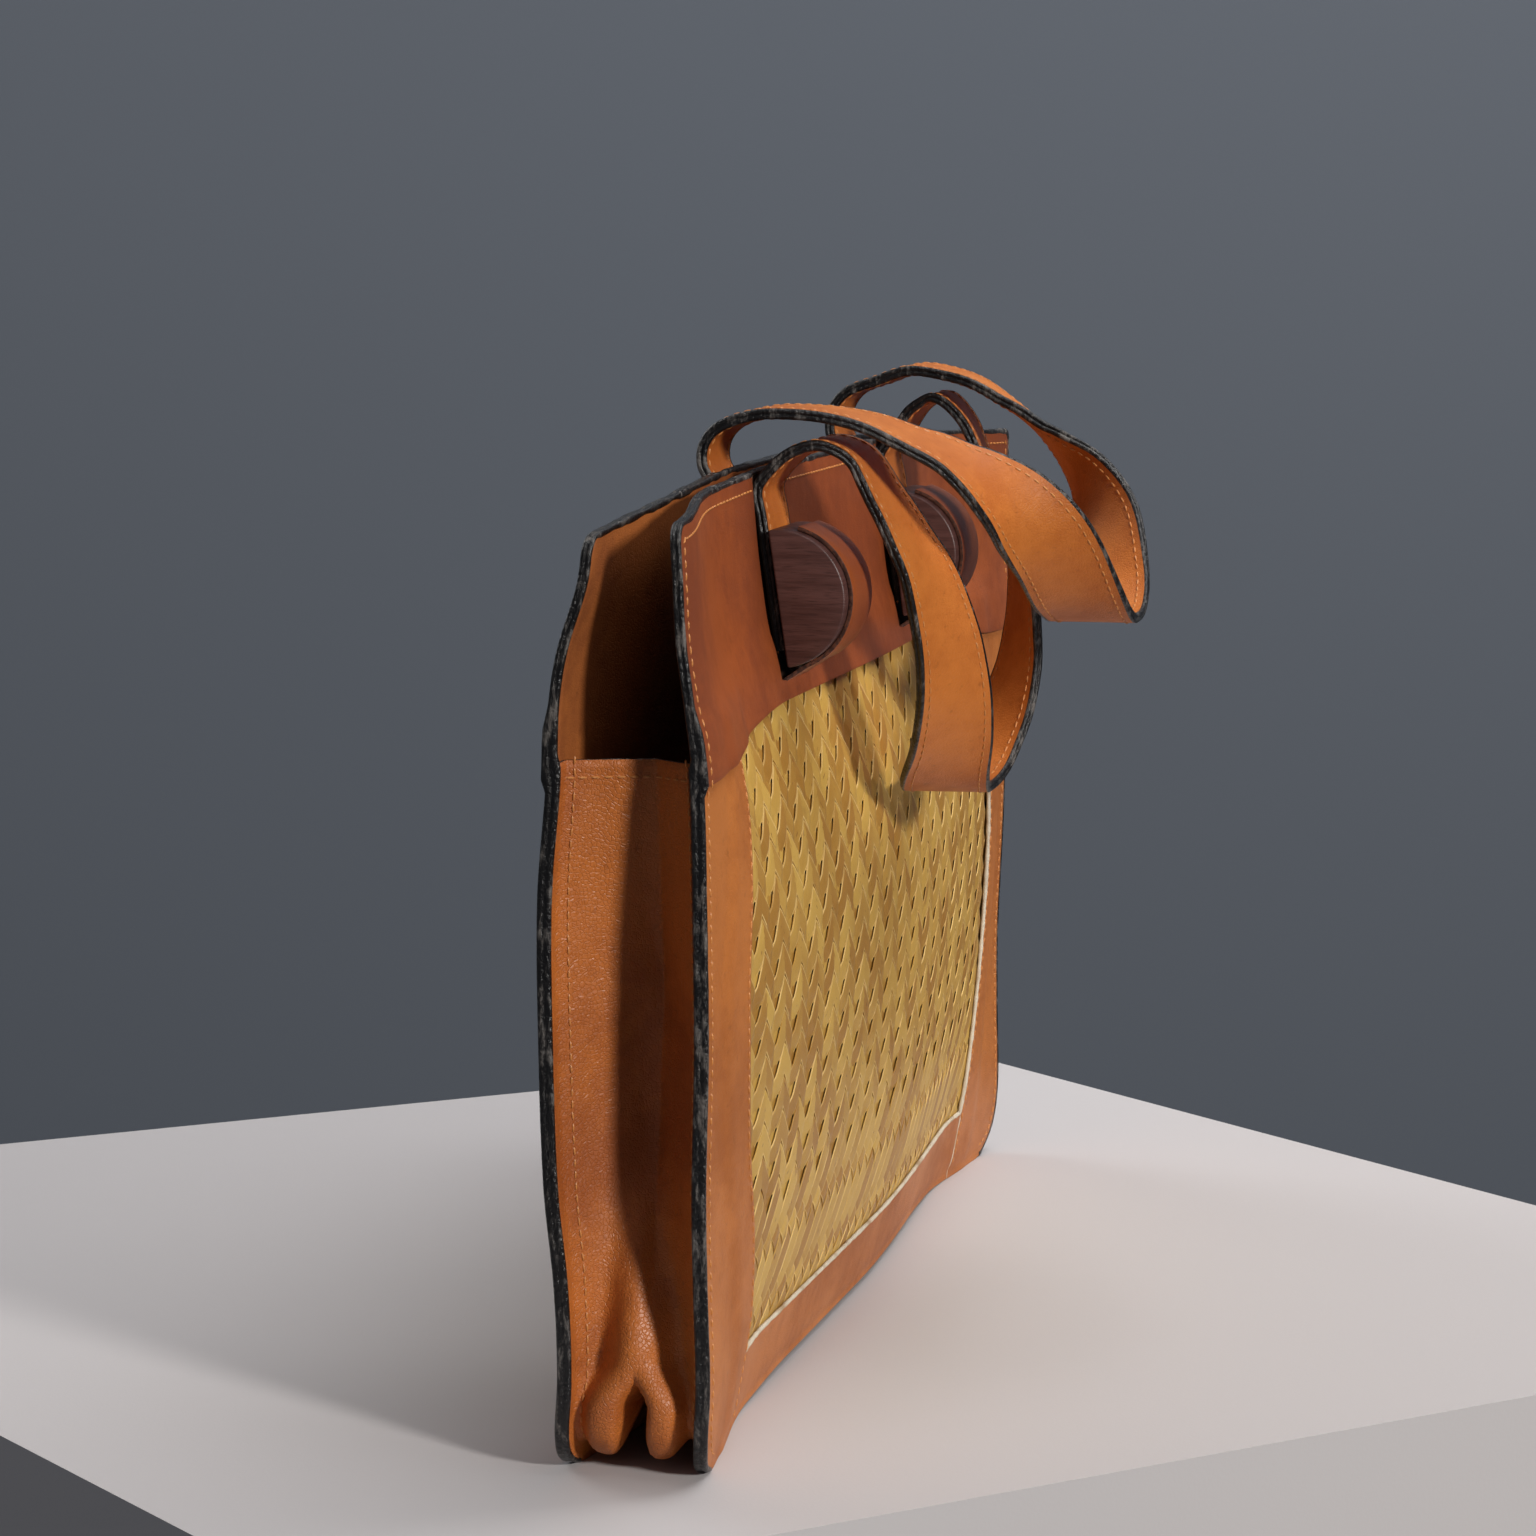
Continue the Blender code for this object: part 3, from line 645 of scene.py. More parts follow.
# %% Helpers for node trees
def new_tree(name, sizes):
    """A tree that takes a mesh, some sizes and a finish, and the wires of its inputs."""
    tree = bpy.data.node_groups.new(name, "GeometryNodeTree")
    kinds = {"Geometry": "Geometry", **{size: "Float" for size in sizes}, "Finish": "Material"}
    for label, kind in kinds.items():
        tree.interface.new_socket(label, in_out="INPUT", socket_type="NodeSocket" + kind)
    tree.interface.new_socket("Geometry", in_out="OUTPUT", socket_type="NodeSocketGeometry")
    nodes = Nodes(tree)
    given = tree.nodes.new("NodeGroupInput")
    return nodes, {socket.name: Wire(nodes, socket) for socket in given.outputs if socket.name}


def end_tree(nodes, geometry, material):
    real = nodes.add("GeometryNodeRealizeInstances", {}, {"Geometry": geometry})
    done = nodes.add("GeometryNodeSetMaterial", {}, {"Geometry": real, "Material": material})
    nodes.tree.links.new(done.socket, nodes.tree.nodes.new("NodeGroupOutput").inputs[0])
    return nodes.tree


def vector(nodes, x=0.0, y=0.0, z=0.0):
    return nodes.add("ShaderNodeCombineXYZ", {}, {0: x, 1: y, 2: z})


def store(nodes, geometry, name, value, kind="FLOAT", domain="POINT"):
    return nodes.add("GeometryNodeStoreNamedAttribute", {"data_type": kind, "domain": domain},
                     {"Geometry": geometry, "Name": name, "Value": value})


def stored(nodes, name, kind="FLOAT"):
    return nodes.add("GeometryNodeInputNamedAttribute", {"data_type": kind}, {"Name": name})


def set_inputs(modifier, **values):
    """Sets a node modifier's inputs by their names, through each socket's identifier."""
    for item in modifier.node_group.interface.items_tree:
        if item.in_out == "INPUT" and item.name.replace(" ", "_") in values:
            modifier[item.identifier] = values[item.name.replace(" ", "_")]


print("tree helpers are ready")

# %% [markdown]
# A family of strips is one long, narrow grid, drawn once and set down on a line of points a
# pitch apart. Each point keeps which strip it is on, how far along and across it lies, and the
# strip's own tone. The second family is the first one mirrored. The tree then fetches, for
# every point, the spot on the wall with the same flat place, and pushes the point out by its
# height in the weave.

# %% The weave's node tree
STEPS_ALONG, STEPS_ACROSS, CROWN = 4.0, 4, -0.22
TONE_SEED, TONE_APART, FIBRE_APART = 7, 200.0, 71.0


def lay_family(nodes, value, sign):
    """One family of strips, laid flat. Its attributes are for the wall and for the finish."""
    pitch, reach, width = value["Pitch"], value["Reach"], value["Strip Width"]
    count = (reach * 2.0 / pitch).math("ROUND")
    strip = nodes.add("GeometryNodeMeshGrid", {}, {
        "Size X": reach * 2.0, "Size Y": width, "Vertices X": count * STEPS_ALONG,
        "Vertices Y": STEPS_ACROSS})
    line = nodes.add("GeometryNodeMeshLine", {}, {
        "Count": count, "Start Location": vector(nodes, y=count * pitch * -0.5),
        "Offset": vector(nodes, y=pitch)})
    laid = nodes.add("GeometryNodeInstanceOnPoints", {}, {"Points": line, "Instance": strip})
    laid = store(nodes, laid, "strip", nodes.add("GeometryNodeInputIndex"), domain="INSTANCE")
    laid = nodes.add("GeometryNodeRealizeInstances", {}, {"Geometry": laid})
    own = stored(nodes, "strip") - (count * 0.5).math("ROUND")
    along, aside = nodes.add("GeometryNodeInputPosition").parts()[:2]
    height = wave(own, along / pitch, value["Foot Row"], sign)
    across = (aside - (own * pitch)) / width * 2.0
    tone = nodes.add("FunctionNodeRandomValue", {"data_type": "FLOAT"},
                     {"ID": own + TONE_APART * sign, "Seed": TONE_SEED}, 1)
    fibre = vector(nodes, along, across, own + FIBRE_APART * sign)
    laid = store(nodes, laid, "fibre", fibre, "FLOAT_VECTOR")
    laid = store(nodes, laid, "tone", tone)
    slant = math.sqrt(0.5)
    flat = vector(nodes, (aside - along) * (slant * sign), (aside + along) * slant,
                  height + across * across * CROWN)
    return store(nodes, laid, "flat", flat, "FLOAT_VECTOR")


def weave_tree():
    nodes, value = new_tree("bias_weave", ("Pitch", "Strip Width", "Wave", "Out", "Side",
                                           "Foot Row", "Reach"))
    families = [lay_family(nodes, value, sign) for sign in (1.0, -1.0)]
    both = nodes.add("GeometryNodeJoinGeometry", {}, {0: families[0]})
    nodes.tree.links.new(families[1].socket, both.socket.node.inputs[0])
    flat = stored(nodes, "flat", "FLOAT_VECTOR")
    landed = nodes.add("GeometryNodeSampleUVSurface", {"data_type": "FLOAT_VECTOR"}, {
        "Mesh": value["Geometry"], "Value": nodes.add("GeometryNodeInputPosition"),
        "Source UV Map": stored(nodes, "wall_place", "FLOAT_VECTOR"), "Sample UV": flat})
    missed = nodes.add("FunctionNodeBooleanMath", {"operation": "NOT"},
                       {0: Wire(nodes, landed.socket.node.outputs["Is Valid"])})
    push = vector(nodes, y=(flat.parts()[2] * value["Wave"] + value["Out"]) * value["Side"])
    there = nodes.add("ShaderNodeVectorMath", {"operation": "ADD"}, {0: landed, 1: push})
    trimmed = nodes.add("GeometryNodeDeleteGeometry", {"domain": "POINT"},
                        {"Geometry": both, "Selection": missed})
    placed = nodes.add("GeometryNodeSetPosition", {}, {"Geometry": trimmed, "Position": there})
    return end_tree(nodes, placed, value["Finish"])


bias_weave = weave_tree()
print("bias_weave nodes:", len(bias_weave.nodes))

# %% [markdown]
# The wall that the mat lands on is a plain grid over the straw window, a little larger than the
# window itself so that the strips end out of sight, under the leather. Its flat place, across
# and up, is stored as an attribute for Sample UV Surface to read.


# %% Lay the mats
STRAW_PITCH, STRAW_SHARE, STRAW_THICK, STRAW_WAVE = 0.0063, 0.935, 0.00028, 0.00040
MAT_MIDDLE, MAT_REACH, FOOT_ROW = 0.100, 0.19, -9.5
MAT_LAP, MAT_YOKE_LAP, MAT_COLUMNS, MAT_ROWS = 0.0055, 0.003, 120, 60


def mat_wall(side):
    """The wall under a mat, with its flat place as an attribute."""
    bm = bmesh.new()
    home = bm.verts.layers.float_vector.new("wall_place")
    grid = []
    for across in spread(MAT_COLUMNS):
        column = []
        for up in shares(MAT_ROWS):
            edge = strip_inner(mix(FOOT_STRIP - MAT_LAP, HEIGHT - YOKE_DROP, up))
            x = across * (edge + MAT_LAP)
            z = mix(FOOT_STRIP - MAT_LAP, yoke_low(x) + MAT_YOKE_LAP, up)
            vertex = bm.verts.new(on_wall(side, x, z, PANEL_WALL + GAP))
            vertex[home] = (x, z - MAT_MIDDLE, 0.0)
            column.append(vertex)
        grid.append(column)
    for left, right in zip(grid, grid[1:]):
        for k in range(len(left) - 1):
            bm.faces.new([left[k], right[k], right[k + 1], left[k + 1]])
    return mesh_of("wall", bm)


for side, name in SIDE_NAMES.items():
    mat = show(f"{name}_mat", mat_wall(side), woven_straw)
    weave = mat.modifiers.new("weave", "NODES")
    weave.node_group = bias_weave
    set_inputs(weave, Pitch=STRAW_PITCH, Strip_Width=STRAW_PITCH * STRAW_SHARE, Wave=STRAW_WAVE,
               Out=STRAW_WALL / 2, Side=float(side), Foot_Row=FOOT_ROW, Reach=MAT_REACH,
               Finish=woven_straw)
    thicken = mat.modifiers.new("strip", "SOLIDIFY")
    thicken.thickness, thicken.offset = STRAW_THICK, 0.0
    keep(mat, "woven_straw", f"{name}_straw")

# %% [markdown]
# ## Border strips
#
# A strip of leather frames the straw down each side and along the foot. The strips are sheets
# like the panels, and a small bevel takes the sharpness off their cut edges. The near borders
# end in a burnished edge, the others in a raw one.


# %% Side and foot strips
def soften(piece, size=0.0003, steps=2, angle=50):
    """Rounds a piece's corners that are sharper than an angle."""
    bevel = piece.modifiers.new("corner", "BEVEL")
    bevel.width, bevel.segments, bevel.limit_method = size, steps, "ANGLE"
    bevel.angle_limit = math.radians(angle)
    return piece


def make_border(side, name, node, columns, rows, find_x, rim, flip):
    def place(across, z):
        x = find_x(across, z)
        return on_wall(side, x, z, strip_out(x, z))

    made = sheet(f"{SIDE_NAMES[side]}_border_{name}", columns, rows, place, LEATHER_WALL,
                 (border_leather, rim), flip=flip)
    keep(soften(made), "border_leather", f"{SIDE_NAMES[side]}_{node}")


def foot_x(across, z):
    return across * (strip_inner(z) - GAP)


def side_x(end):
    """The rule that spreads a side border between its two edges, at one end of the bag."""
    def find_x(across, z):
        return mix(min(strip_inner(z), half_width(z)), half_width(z), across) * end
    return find_x


side_rows = heights(0.0, yoke_low(HALF) + YOKE_LAP)
for side in (FRONT, BACK):
    make_border(side, "foot", "foot_strip", spread(PANEL_COLUMNS),
                heights(0.0, FOOT_STRIP, step=0.002), foot_x, raw_leather, side == BACK)
    for end, name in END_NAMES.items():
        make_border(side, name, f"strip_{name}", shares(20), side_rows, side_x(end),
                    burnished if end == NEAR else raw_leather, (side == BACK) != (end == NEAR))

# %% [markdown]
# ## Yoke and tongues
#
# Along the top each side has a yoke, and two wooden half-rounds held by tongues that are cut
# from it. Tongue, wood and handle all meet at the same place, so the seat of each half-round
# comes first: a small frame of its own, square to the leaning wall.

# %% Seats of the half-rounds
WOOD_RADIUS, WOOD_LENGTH, WOOD_SPACING, WOOD_DROP = 0.0186, 0.030, 0.144, 0.0345
STRAP_WIDTH, STRAP_WALL, STRAP_CLEAR = 0.025, 0.0028, 0.0006
CENTRE = WOOD_SPACING / 2


def wood_seat(side, end):
    """The frame of a half-round: X along the bag, Y away from its flat side, Z up the wall."""
    x = end * CENTRE
    z = HEIGHT - WOOD_DROP
    low, high = z - WOOD_RADIUS, z + WOOD_RADIUS
    up = Vector((0.0, wall_y(side, x, high) - wall_y(side, x, low), high - low)).normalized()
    out = Vector((0.0, side * up.z, -side * up.y))
    middle = Vector((x, (wall_y(side, x, low) + wall_y(side, x, high)) / 2, z))
    middle += out * (PANEL_WALL + STRAP_WALL + 2 * STRAP_CLEAR)
    turn = Matrix((Vector((1, 0, 0)), out, up)).transposed().to_4x4()
    return Matrix.Translation(middle + SHIFT) @ turn


seat = wood_seat(FRONT, NEAR)
print("front near wood stands at:", [round(v, 4) for v in seat.translation])

# %% [markdown]
# The yoke is one piece of redder leather. Over each half-round it is cut on three sides, and
# the flap, or tongue, bends out over the wood. So the tongue has to be part of the same sheet:
# its faces start from the lower edge of the notch and follow an arc round the wood.

# %% Yokes and tongues
NOTCH_CLEAR, CUT_CLEAR, TONGUE_WIDTH, TONGUE_STEPS = 0.0012, 0.001, 0.022, 36
TONGUE_START, TONGUE_TOP = math.radians(-75), math.radians(68)
NOTCH = WOOD_LENGTH / 2 + NOTCH_CLEAR
NOTCH_LOW = HEIGHT - WOOD_DROP - WOOD_RADIUS - 2 * NOTCH_CLEAR


def make_yoke(side):
    tongue = [CENTRE + TONGUE_WIDTH / 2 * s for s in (-1.0, -0.5, 0.0, 0.5, 1.0)]
    cuts = [CENTRE - NOTCH] + tongue + [CENTRE + NOTCH]
    even = [HALF * s for s in shares(50)]
    right = sorted(cuts + [x for x in even
                           if not cuts[0] - CUT_CLEAR <= x <= cuts[-1] + CUT_CLEAR])
    columns = [-x / HALF for x in reversed(right[1:])] + [x / HALF for x in right]
    corner = 1.0 - TOP_CORNER / (HEIGHT - NOTCH_LOW)
    rows = [("low", s) for s in shares(6)] + [("high", corner * s) for s in shares(12)[1:]]
    rows += [("high", mix(corner, 1.0, math.sin(s * math.pi / 2))) for s in shares(8)[1:]]

    def place(share, row):
        part, up = row
        low = mix(yoke_low(share * HALF), NOTCH_LOW, up)
        z = low if part == "low" else mix(NOTCH_LOW, HEIGHT, up)
        outside = max(0.0, abs(share) * HALF - cuts[-1]) / (HALF - cuts[-1])
        x = math.copysign(min(abs(share) * HALF, cuts[-1]), share)
        x += math.copysign(outside * (half_width(z) - cuts[-1]), share)
        return on_wall(side, x, z, yoke_out(x, z))

    first = rows.index(("low", 1.0))
    skip = {(i, j) for i in range(len(columns) - 1) for j in range(first, len(rows) - 1)
            if abs(abs(columns[i] + columns[i + 1]) / 2 * HALF - CENTRE) < NOTCH}

    def tongues(bm, vertex):
        for end in (NEAR, FAR):
            seat = wood_seat(side, end)
            places = sorted(x * end for x in tongue)
            found = [min(range(len(columns)), key=lambda i: abs(columns[i] * HALF - x))
                     for x in places]
            previous = [vertex(i, first) for i in found]
            radius = WOOD_RADIUS + GAP
            for share in shares(TONGUE_STEPS):
                angle = mix(TONGUE_START, TONGUE_TOP, share)
                row = [bm.verts.new(seat @ Vector((x - end * CENTRE, radius * math.cos(angle),
                                                   radius * math.sin(angle)))) for x in places]
                for k in range(len(places) - 1):
                    corners = [previous[k], previous[k + 1], row[k + 1], row[k]]
                    bm.faces.new(corners[::-1] if side == BACK else corners)
                previous = row

    name = SIDE_NAMES[side]
    made = sheet(f"{name}_yoke_leather", columns, rows, place, LEATHER_WALL,
                 (yoke_leather, burnished), flip=side == BACK, skip=skip, extra=tongues)
    keep(soften(made, 0.00025), "yoke_leather", f"{name}_yoke")


for side in (FRONT, BACK):
    make_yoke(side)

# %% [markdown]
# ## Gusset
#
# One long strip joins the two panels down the sides and along the foot. It is swept along the
# panel's outline, from the hem at one end, round the foot corner and along the foot to the
# other hem. The first helper gives half of that path.

# %% Path of the gusset
GUSSET_TOP, PATH_STEP, CORNER_TURN = 0.181, 0.0022, 16


def gusset_stations():
    """Half the path, top hem to mid-foot: place along, x, z and the way inwards."""
    side_run, foot_run = GUSSET_TOP - FOOT_CORNER, HALF - FOOT_CORNER
    arc_run = FOOT_CORNER * math.pi / 2
    total = side_run + arc_run + foot_run
    found = [(s * side_run / total, -HALF, mix(GUSSET_TOP, FOOT_CORNER, s), 1.0, 0.0)
             for s in shares(round(side_run / PATH_STEP))]
    for s in shares(CORNER_TURN)[1:]:
        angle = s * math.pi / 2
        found.append(((side_run + s * arc_run) / total,
                      -HALF + FOOT_CORNER - FOOT_CORNER * math.cos(angle),
                      FOOT_CORNER - FOOT_CORNER * math.sin(angle), math.cos(angle),
                      math.sin(angle)))
    found += [((side_run + arc_run + s * foot_run) / total, -foot_run * (1.0 - s), 0.0, 0.0, 1.0)
              for s in shares(round(foot_run / PATH_STEP))[1:]]
    return found


gusset_half = gusset_stations()
gusset_path = gusset_half + [(w, -x, z, -in_x, in_z)
                             for w, x, z, in_x, in_z in reversed(gusset_half[:-1])]
print("gusset stations:", len(gusset_path))

# %% [markdown]
# Across its path the gusset folds inwards, like a bellows, and at the foot of each side the fold
# turns over into a roll that opens into two legs. A table gives the depth of the fold and the
# height of the roll along the path. The fold is deeper than the CAD solid's, its crease starts
# off centre, and gentle wrinkles from a fixed noise run across it.

# %% Folds of the gusset
FOLDS = [(0.00, 0.60, 0.00), (0.12, 0.95, 0.00), (0.26, 1.12, 0.04), (0.32, 1.12, 0.28),
         (0.365, 1.10, 0.62), (0.40, 1.08, 0.92), (0.44, 1.08, 0.94), (0.48, 1.04, 0.90),
         (0.52, 0.98, 0.50), (0.57, 0.88, 0.00), (0.75, 0.74, 0.00), (1.00, 0.66, 0.00)]
GUSSET_WALL, SEAM, SEAM_GAP, FOLD_DEPTH, LEAST_DEPTH = 0.0009, 0.005, 0.0001, 0.022, 0.0024
CREASE_TOP, CREASE_FOOT, CREASE_RUN, FRONT_POWER, BACK_POWER = 0.36, 0.5, 0.55, 1.2, 1.5
ROLL_MIDDLE, ROLL_WIDTH, WRINKLE = 0.53, 0.2175, 0.0012
LEG_SPREAD, LEG_START, LEG_RUN, LEG_WIDTH = 0.20, 0.405, 0.034, 0.14


def fold_at(share, where):
    """The fold's own share of depth and the gusset's depth, for shares across and along."""
    crease = mix(CREASE_TOP, CREASE_FOOT, ease(where / CREASE_RUN))
    ahead = share < crease
    flank = (crease - share) / crease if ahead else (share - crease) / (1.0 - crease)
    dip = 1.0 - flank ** (FRONT_POWER if ahead else BACK_POWER)
    apart = LEG_SPREAD * ease((where - LEG_START) / LEG_RUN)
    width = mix(ROLL_WIDTH, LEG_WIDTH, apart / LEG_SPREAD)
    roll = max(math.exp(-((share - ROLL_MIDDLE - way * apart) / width) ** 2) for way in (-1, 1))
    fold, ridge = read(FOLDS, where, 1) * FOLD_DEPTH, read(FOLDS, where, 2) * FOLD_DEPTH
    depth = SEAM + (fold - SEAM) * dip - ridge * roll
    return dip, (depth + LEAST_DEPTH + math.hypot(depth - LEAST_DEPTH, LEAST_DEPTH)) / 2


def gusset_point(spot, station):
    """A point of the gusset. spot is its share across, and its share of a seam or None."""
    share, seam_share = spot
    where, x, z, in_x, in_z = station
    if seam_share is None:
        dip, depth = fold_at(share, where)
        depth += WRINKLE * dip * noise.noise(Vector((x * 30.0, share * 4.0, z * 55.0)))
    else:
        depth = SEAM * seam_share
    x, z = x + in_x * depth, z + in_z * depth
    front, back = wall_y(FRONT, x, z) + SEAM_GAP, wall_y(BACK, x, z) - SEAM_GAP
    return Vector((x, mix(front, back, share), z + lift(x, z))) + SHIFT


seam_spots = [0.0, FOOT_STEP / SEAM, 1.0]
gusset_spots = [(0.0, s) for s in seam_spots] + [(s, None) for s in shares(46)[1:-1]]
gusset_spots += [(1.0, s) for s in reversed(seam_spots)]
folded = sheet("folded_gusset", gusset_spots, gusset_path, gusset_point, GUSSET_WALL,
               (gusset_leather, edge_paint))
folded.modifiers["wall"].use_even_offset = False
keep(folded, "gusset_leather", "gusset")

# %% [markdown]
# ## Wooden half-rounds
#
# Each is half a dowel, sawn along its length, with its sharp edges just taken off. A D-shaped
# outline pushed along the bag and a fine bevel give that.


# %% Wood
def make_wood(side, end):
    seat = wood_seat(side, end)
    angles = [mix(-math.pi / 2, math.pi / 2, s) for s in shares(64)]
    loops = [[seat @ Vector((x, WOOD_RADIUS * math.cos(a), WOOD_RADIUS * math.sin(a)))
              for a in angles] for x in (-WOOD_LENGTH / 2, WOOD_LENGTH / 2)]
    name = f"{SIDE_NAMES[side]}_wood_{END_NAMES[end]}"
    made = soften(rings(name.replace("wood", "half_round"), loops, dark_wood), 0.0006, 3, 30)
    keep(made, "wood", name)
    made.data.set_sharp_from_angle(angle=math.radians(35))


for side in (FRONT, BACK):
    for end in (NEAR, FAR):
        make_wood(side, end)

# %% [markdown]
# ## Handles
#
# Each handle is a flat strap of two plies, stitched together near both edges. Both have fallen
# forwards, so each rises from behind its wood, bends over and hangs in a loop, with its width
# slowly turning on the way. The loops are listed rows: how far along, out, up and down each
# point lies, in shares of the handle's own sizes, and how far the width has turned.

# %% Handle tables
HANDLE_SIZES = {FRONT: (0.038, 0.0945, 0.007), BACK: (0.080, 0.045, 0.0155)}
STRAP_TAIL, FAR_LEG_LIFT = (-0.75, -0.25, 0.25, 0.75, 1.2, 1.6), 0.005
FRONT_LEG = [(1.000, 0.200, 0.21, 0.000, 0), (0.997, 0.340, 0.79, 0.000, 0),
             (0.985, 0.530, 1.00, 0.000, 3), (0.955, 0.740, 0.43, 0.000, 5),
             (0.917, 0.908, 0.00, 0.085, 8), (0.875, 1.040, 0.00, 0.190, 13),
             (0.833, 1.158, 0.00, 0.296, 18), (0.764, 1.237, 0.00, 0.423, 24),
             (0.694, 1.280, 0.00, 0.550, 30), (0.611, 1.276, 0.00, 0.688, 37),
             (0.486, 1.210, 0.00, 0.825, 47), (0.333, 1.105, 0.00, 0.930, 62),
             (0.167, 1.040, 0.00, 0.984, 77), (0.000, 1.000, 0.00, 1.000, 90)]
BACK_LEG = [(1.000, -0.150, 0.10, 0.000, 0), (1.000, -0.142, 0.48, 0.000, 0),
            (1.000, -0.087, 0.78, 0.000, 0), (1.000, 0.025, 0.97, 0.000, 0),
            (0.998, 0.144, 1.00, 0.000, 1), (0.986, 0.275, 0.94, 0.000, 3),
            (0.958, 0.400, 0.78, 0.000, 7), (0.917, 0.531, 0.48, 0.000, 11),
            (0.861, 0.638, 0.19, 0.000, 18), (0.806, 0.738, 0.00, 0.067, 26),
            (0.694, 0.850, 0.00, 0.267, 39), (0.540, 0.938, 0.00, 0.511, 52),
            (0.330, 0.985, 0.00, 0.815, 68), (0.150, 1.000, 0.00, 0.965, 82),
            (0.000, 1.000, 0.00, 1.000, 90)]


def strap_keys(side):
    """Half the handle's rows as points and turns, and the other half mirrored."""
    legs = FRONT_LEG if side == FRONT else BACK_LEG
    reach, hang, rise = HANDLE_SIZES[side]
    seat = wood_seat(side, NEAR)
    behind = -(STRAP_CLEAR + STRAP_WALL / 2)
    keys = [(seat @ Vector((0.0, behind, up * WOOD_RADIUS)) - SHIFT, 0.0, 0.0)
            for up in STRAP_TAIL]
    for along, out, up, down, turn in legs:
        spot = Vector((-CENTRE * along, -reach * out, HEIGHT + rise * up - hang * down))
        keys.append((spot, math.radians(turn), min(up, 1.0) * (1.0 if along < 1.0 else 0.5)))
    other = [(Vector((-spot.x, spot.y, spot.z + FAR_LEG_LIFT * raised)), math.pi - turn, raised)
             for spot, turn, raised in reversed(keys[:-1])]
    return keys + other


def strap_frames(side, steps=6):
    """Places along the handle's middle, with its width and its thickness directions."""
    keys = strap_keys(side)
    path = []
    for k in range(len(keys) - 1):
        rows = [keys[max(k - 1, 0)], keys[k], keys[k + 1], keys[min(k + 2, len(keys) - 1)]]
        for step in range(steps):
            share = step / steps
            square, cube = share ** 2, share ** 3
            weights = (-0.5 * cube + square - 0.5 * share, 1.5 * cube - 2.5 * square + 1.0,
                       -1.5 * cube + 2.0 * square + 0.5 * share, 0.5 * cube - 0.5 * square)
            spot = sum((w * row[0] for w, row in zip(weights, rows)), Vector((0, 0, 0)))
            path.append((spot, sum(w * row[1] for w, row in zip(weights, rows))))
    path.append((keys[-1][0], keys[-1][1]))
    found = []
    for k, (spot, turn) in enumerate(path):
        way = (path[min(k + 1, len(path) - 1)][0] - path[max(k - 1, 0)][0]).normalized()
        width = Vector((math.cos(turn), -math.sin(turn), 0.0))
        width = (width - way * width.dot(way)).normalized()
        found.append((spot + SHIFT, width, way.cross(width).normalized()))
    return found


handle_frames = {side: strap_frames(side) for side in (FRONT, BACK)}
print("handle stations:", [len(found) for found in handle_frames.values()])

# %% [markdown]
# The strap's section is drawn once: two flat faces, corners rounded by the edge paint, and a
# shallow line in each edge where the two plies meet. The faces next to the edges are painted.


# %% Handles
CORNER_PAINT = 0.0012


def strap_section():
    """Points round the section, as (across, thickness), and which of its strips are painted."""
    w, t = STRAP_WIDTH / 2, STRAP_WALL / 2
    edge = [(w - 0.0010, t), (w - 0.0005, t + 0.00008), (w - 0.0001, t - 0.0003),
            (w + 0.0001, t - 0.0008), (w - 0.0001, 0.00022), (w - 0.0004, 0.0)]
    right = edge + [(a, -b) for a, b in reversed(edge[:-1])]
    flat = [w * s for s in (0.75, 0.45, 0.15, -0.15, -0.45, -0.75)]
    loop = right + [(a, -t) for a in flat] + [(-a, -b) for a, b in right] + [(-a, t) for a in flat]
    near = [CORNER_PAINT > w - abs(a) for a, b in loop]
    return loop, [here and there for here, there in zip(near, near[1:] + near[:1])]


def make_strap(side):
    loop, painted = strap_section()
    loops = [[spot + width * a + thick * b for a, b in loop]
             for spot, width, thick in handle_frames[side]]
    name = SIDE_NAMES[side]
    made = rings(f"{name}_handle", loops, strap_leather, edge_paint,
                 pick=lambda k: int(painted[k]))
    keep(made, "strap_leather", f"{name}_strap")


for side in (FRONT, BACK):
    make_strap(side)

# %% [markdown]
# ## Painted and raw edges
#
# Where the plies of panel, gusset and border end together, black paint covers them all in one
# thick, uneven band. It is swept round each panel's outline: up one side, round the corner,
# along the mouth and down again. Its section is a rounded bar as wide as the stack of plies,
# which changes on the way: at the notches only the panel is left.


# %% Painted edge of each panel
EDGE_START, NOTCH_STEP, HEM_START, HEM_RUN = math.radians(12), 0.0002, 0.002, 0.004
PAINT_PROUD, PAINT_DEEP, WOBBLE, WOBBLE_SCALE = 0.0005, 0.0011, 0.00034, 170.0
INNER_LIP, OUTER_LIP, ROUND, DIMPLE = 0.00015, 0.00018, 0.0005, 0.0004


def corner(x, z, radius, ways):
    return [(x + radius * nx, z + radius * nz, nx, nz) for nx, nz in ways]


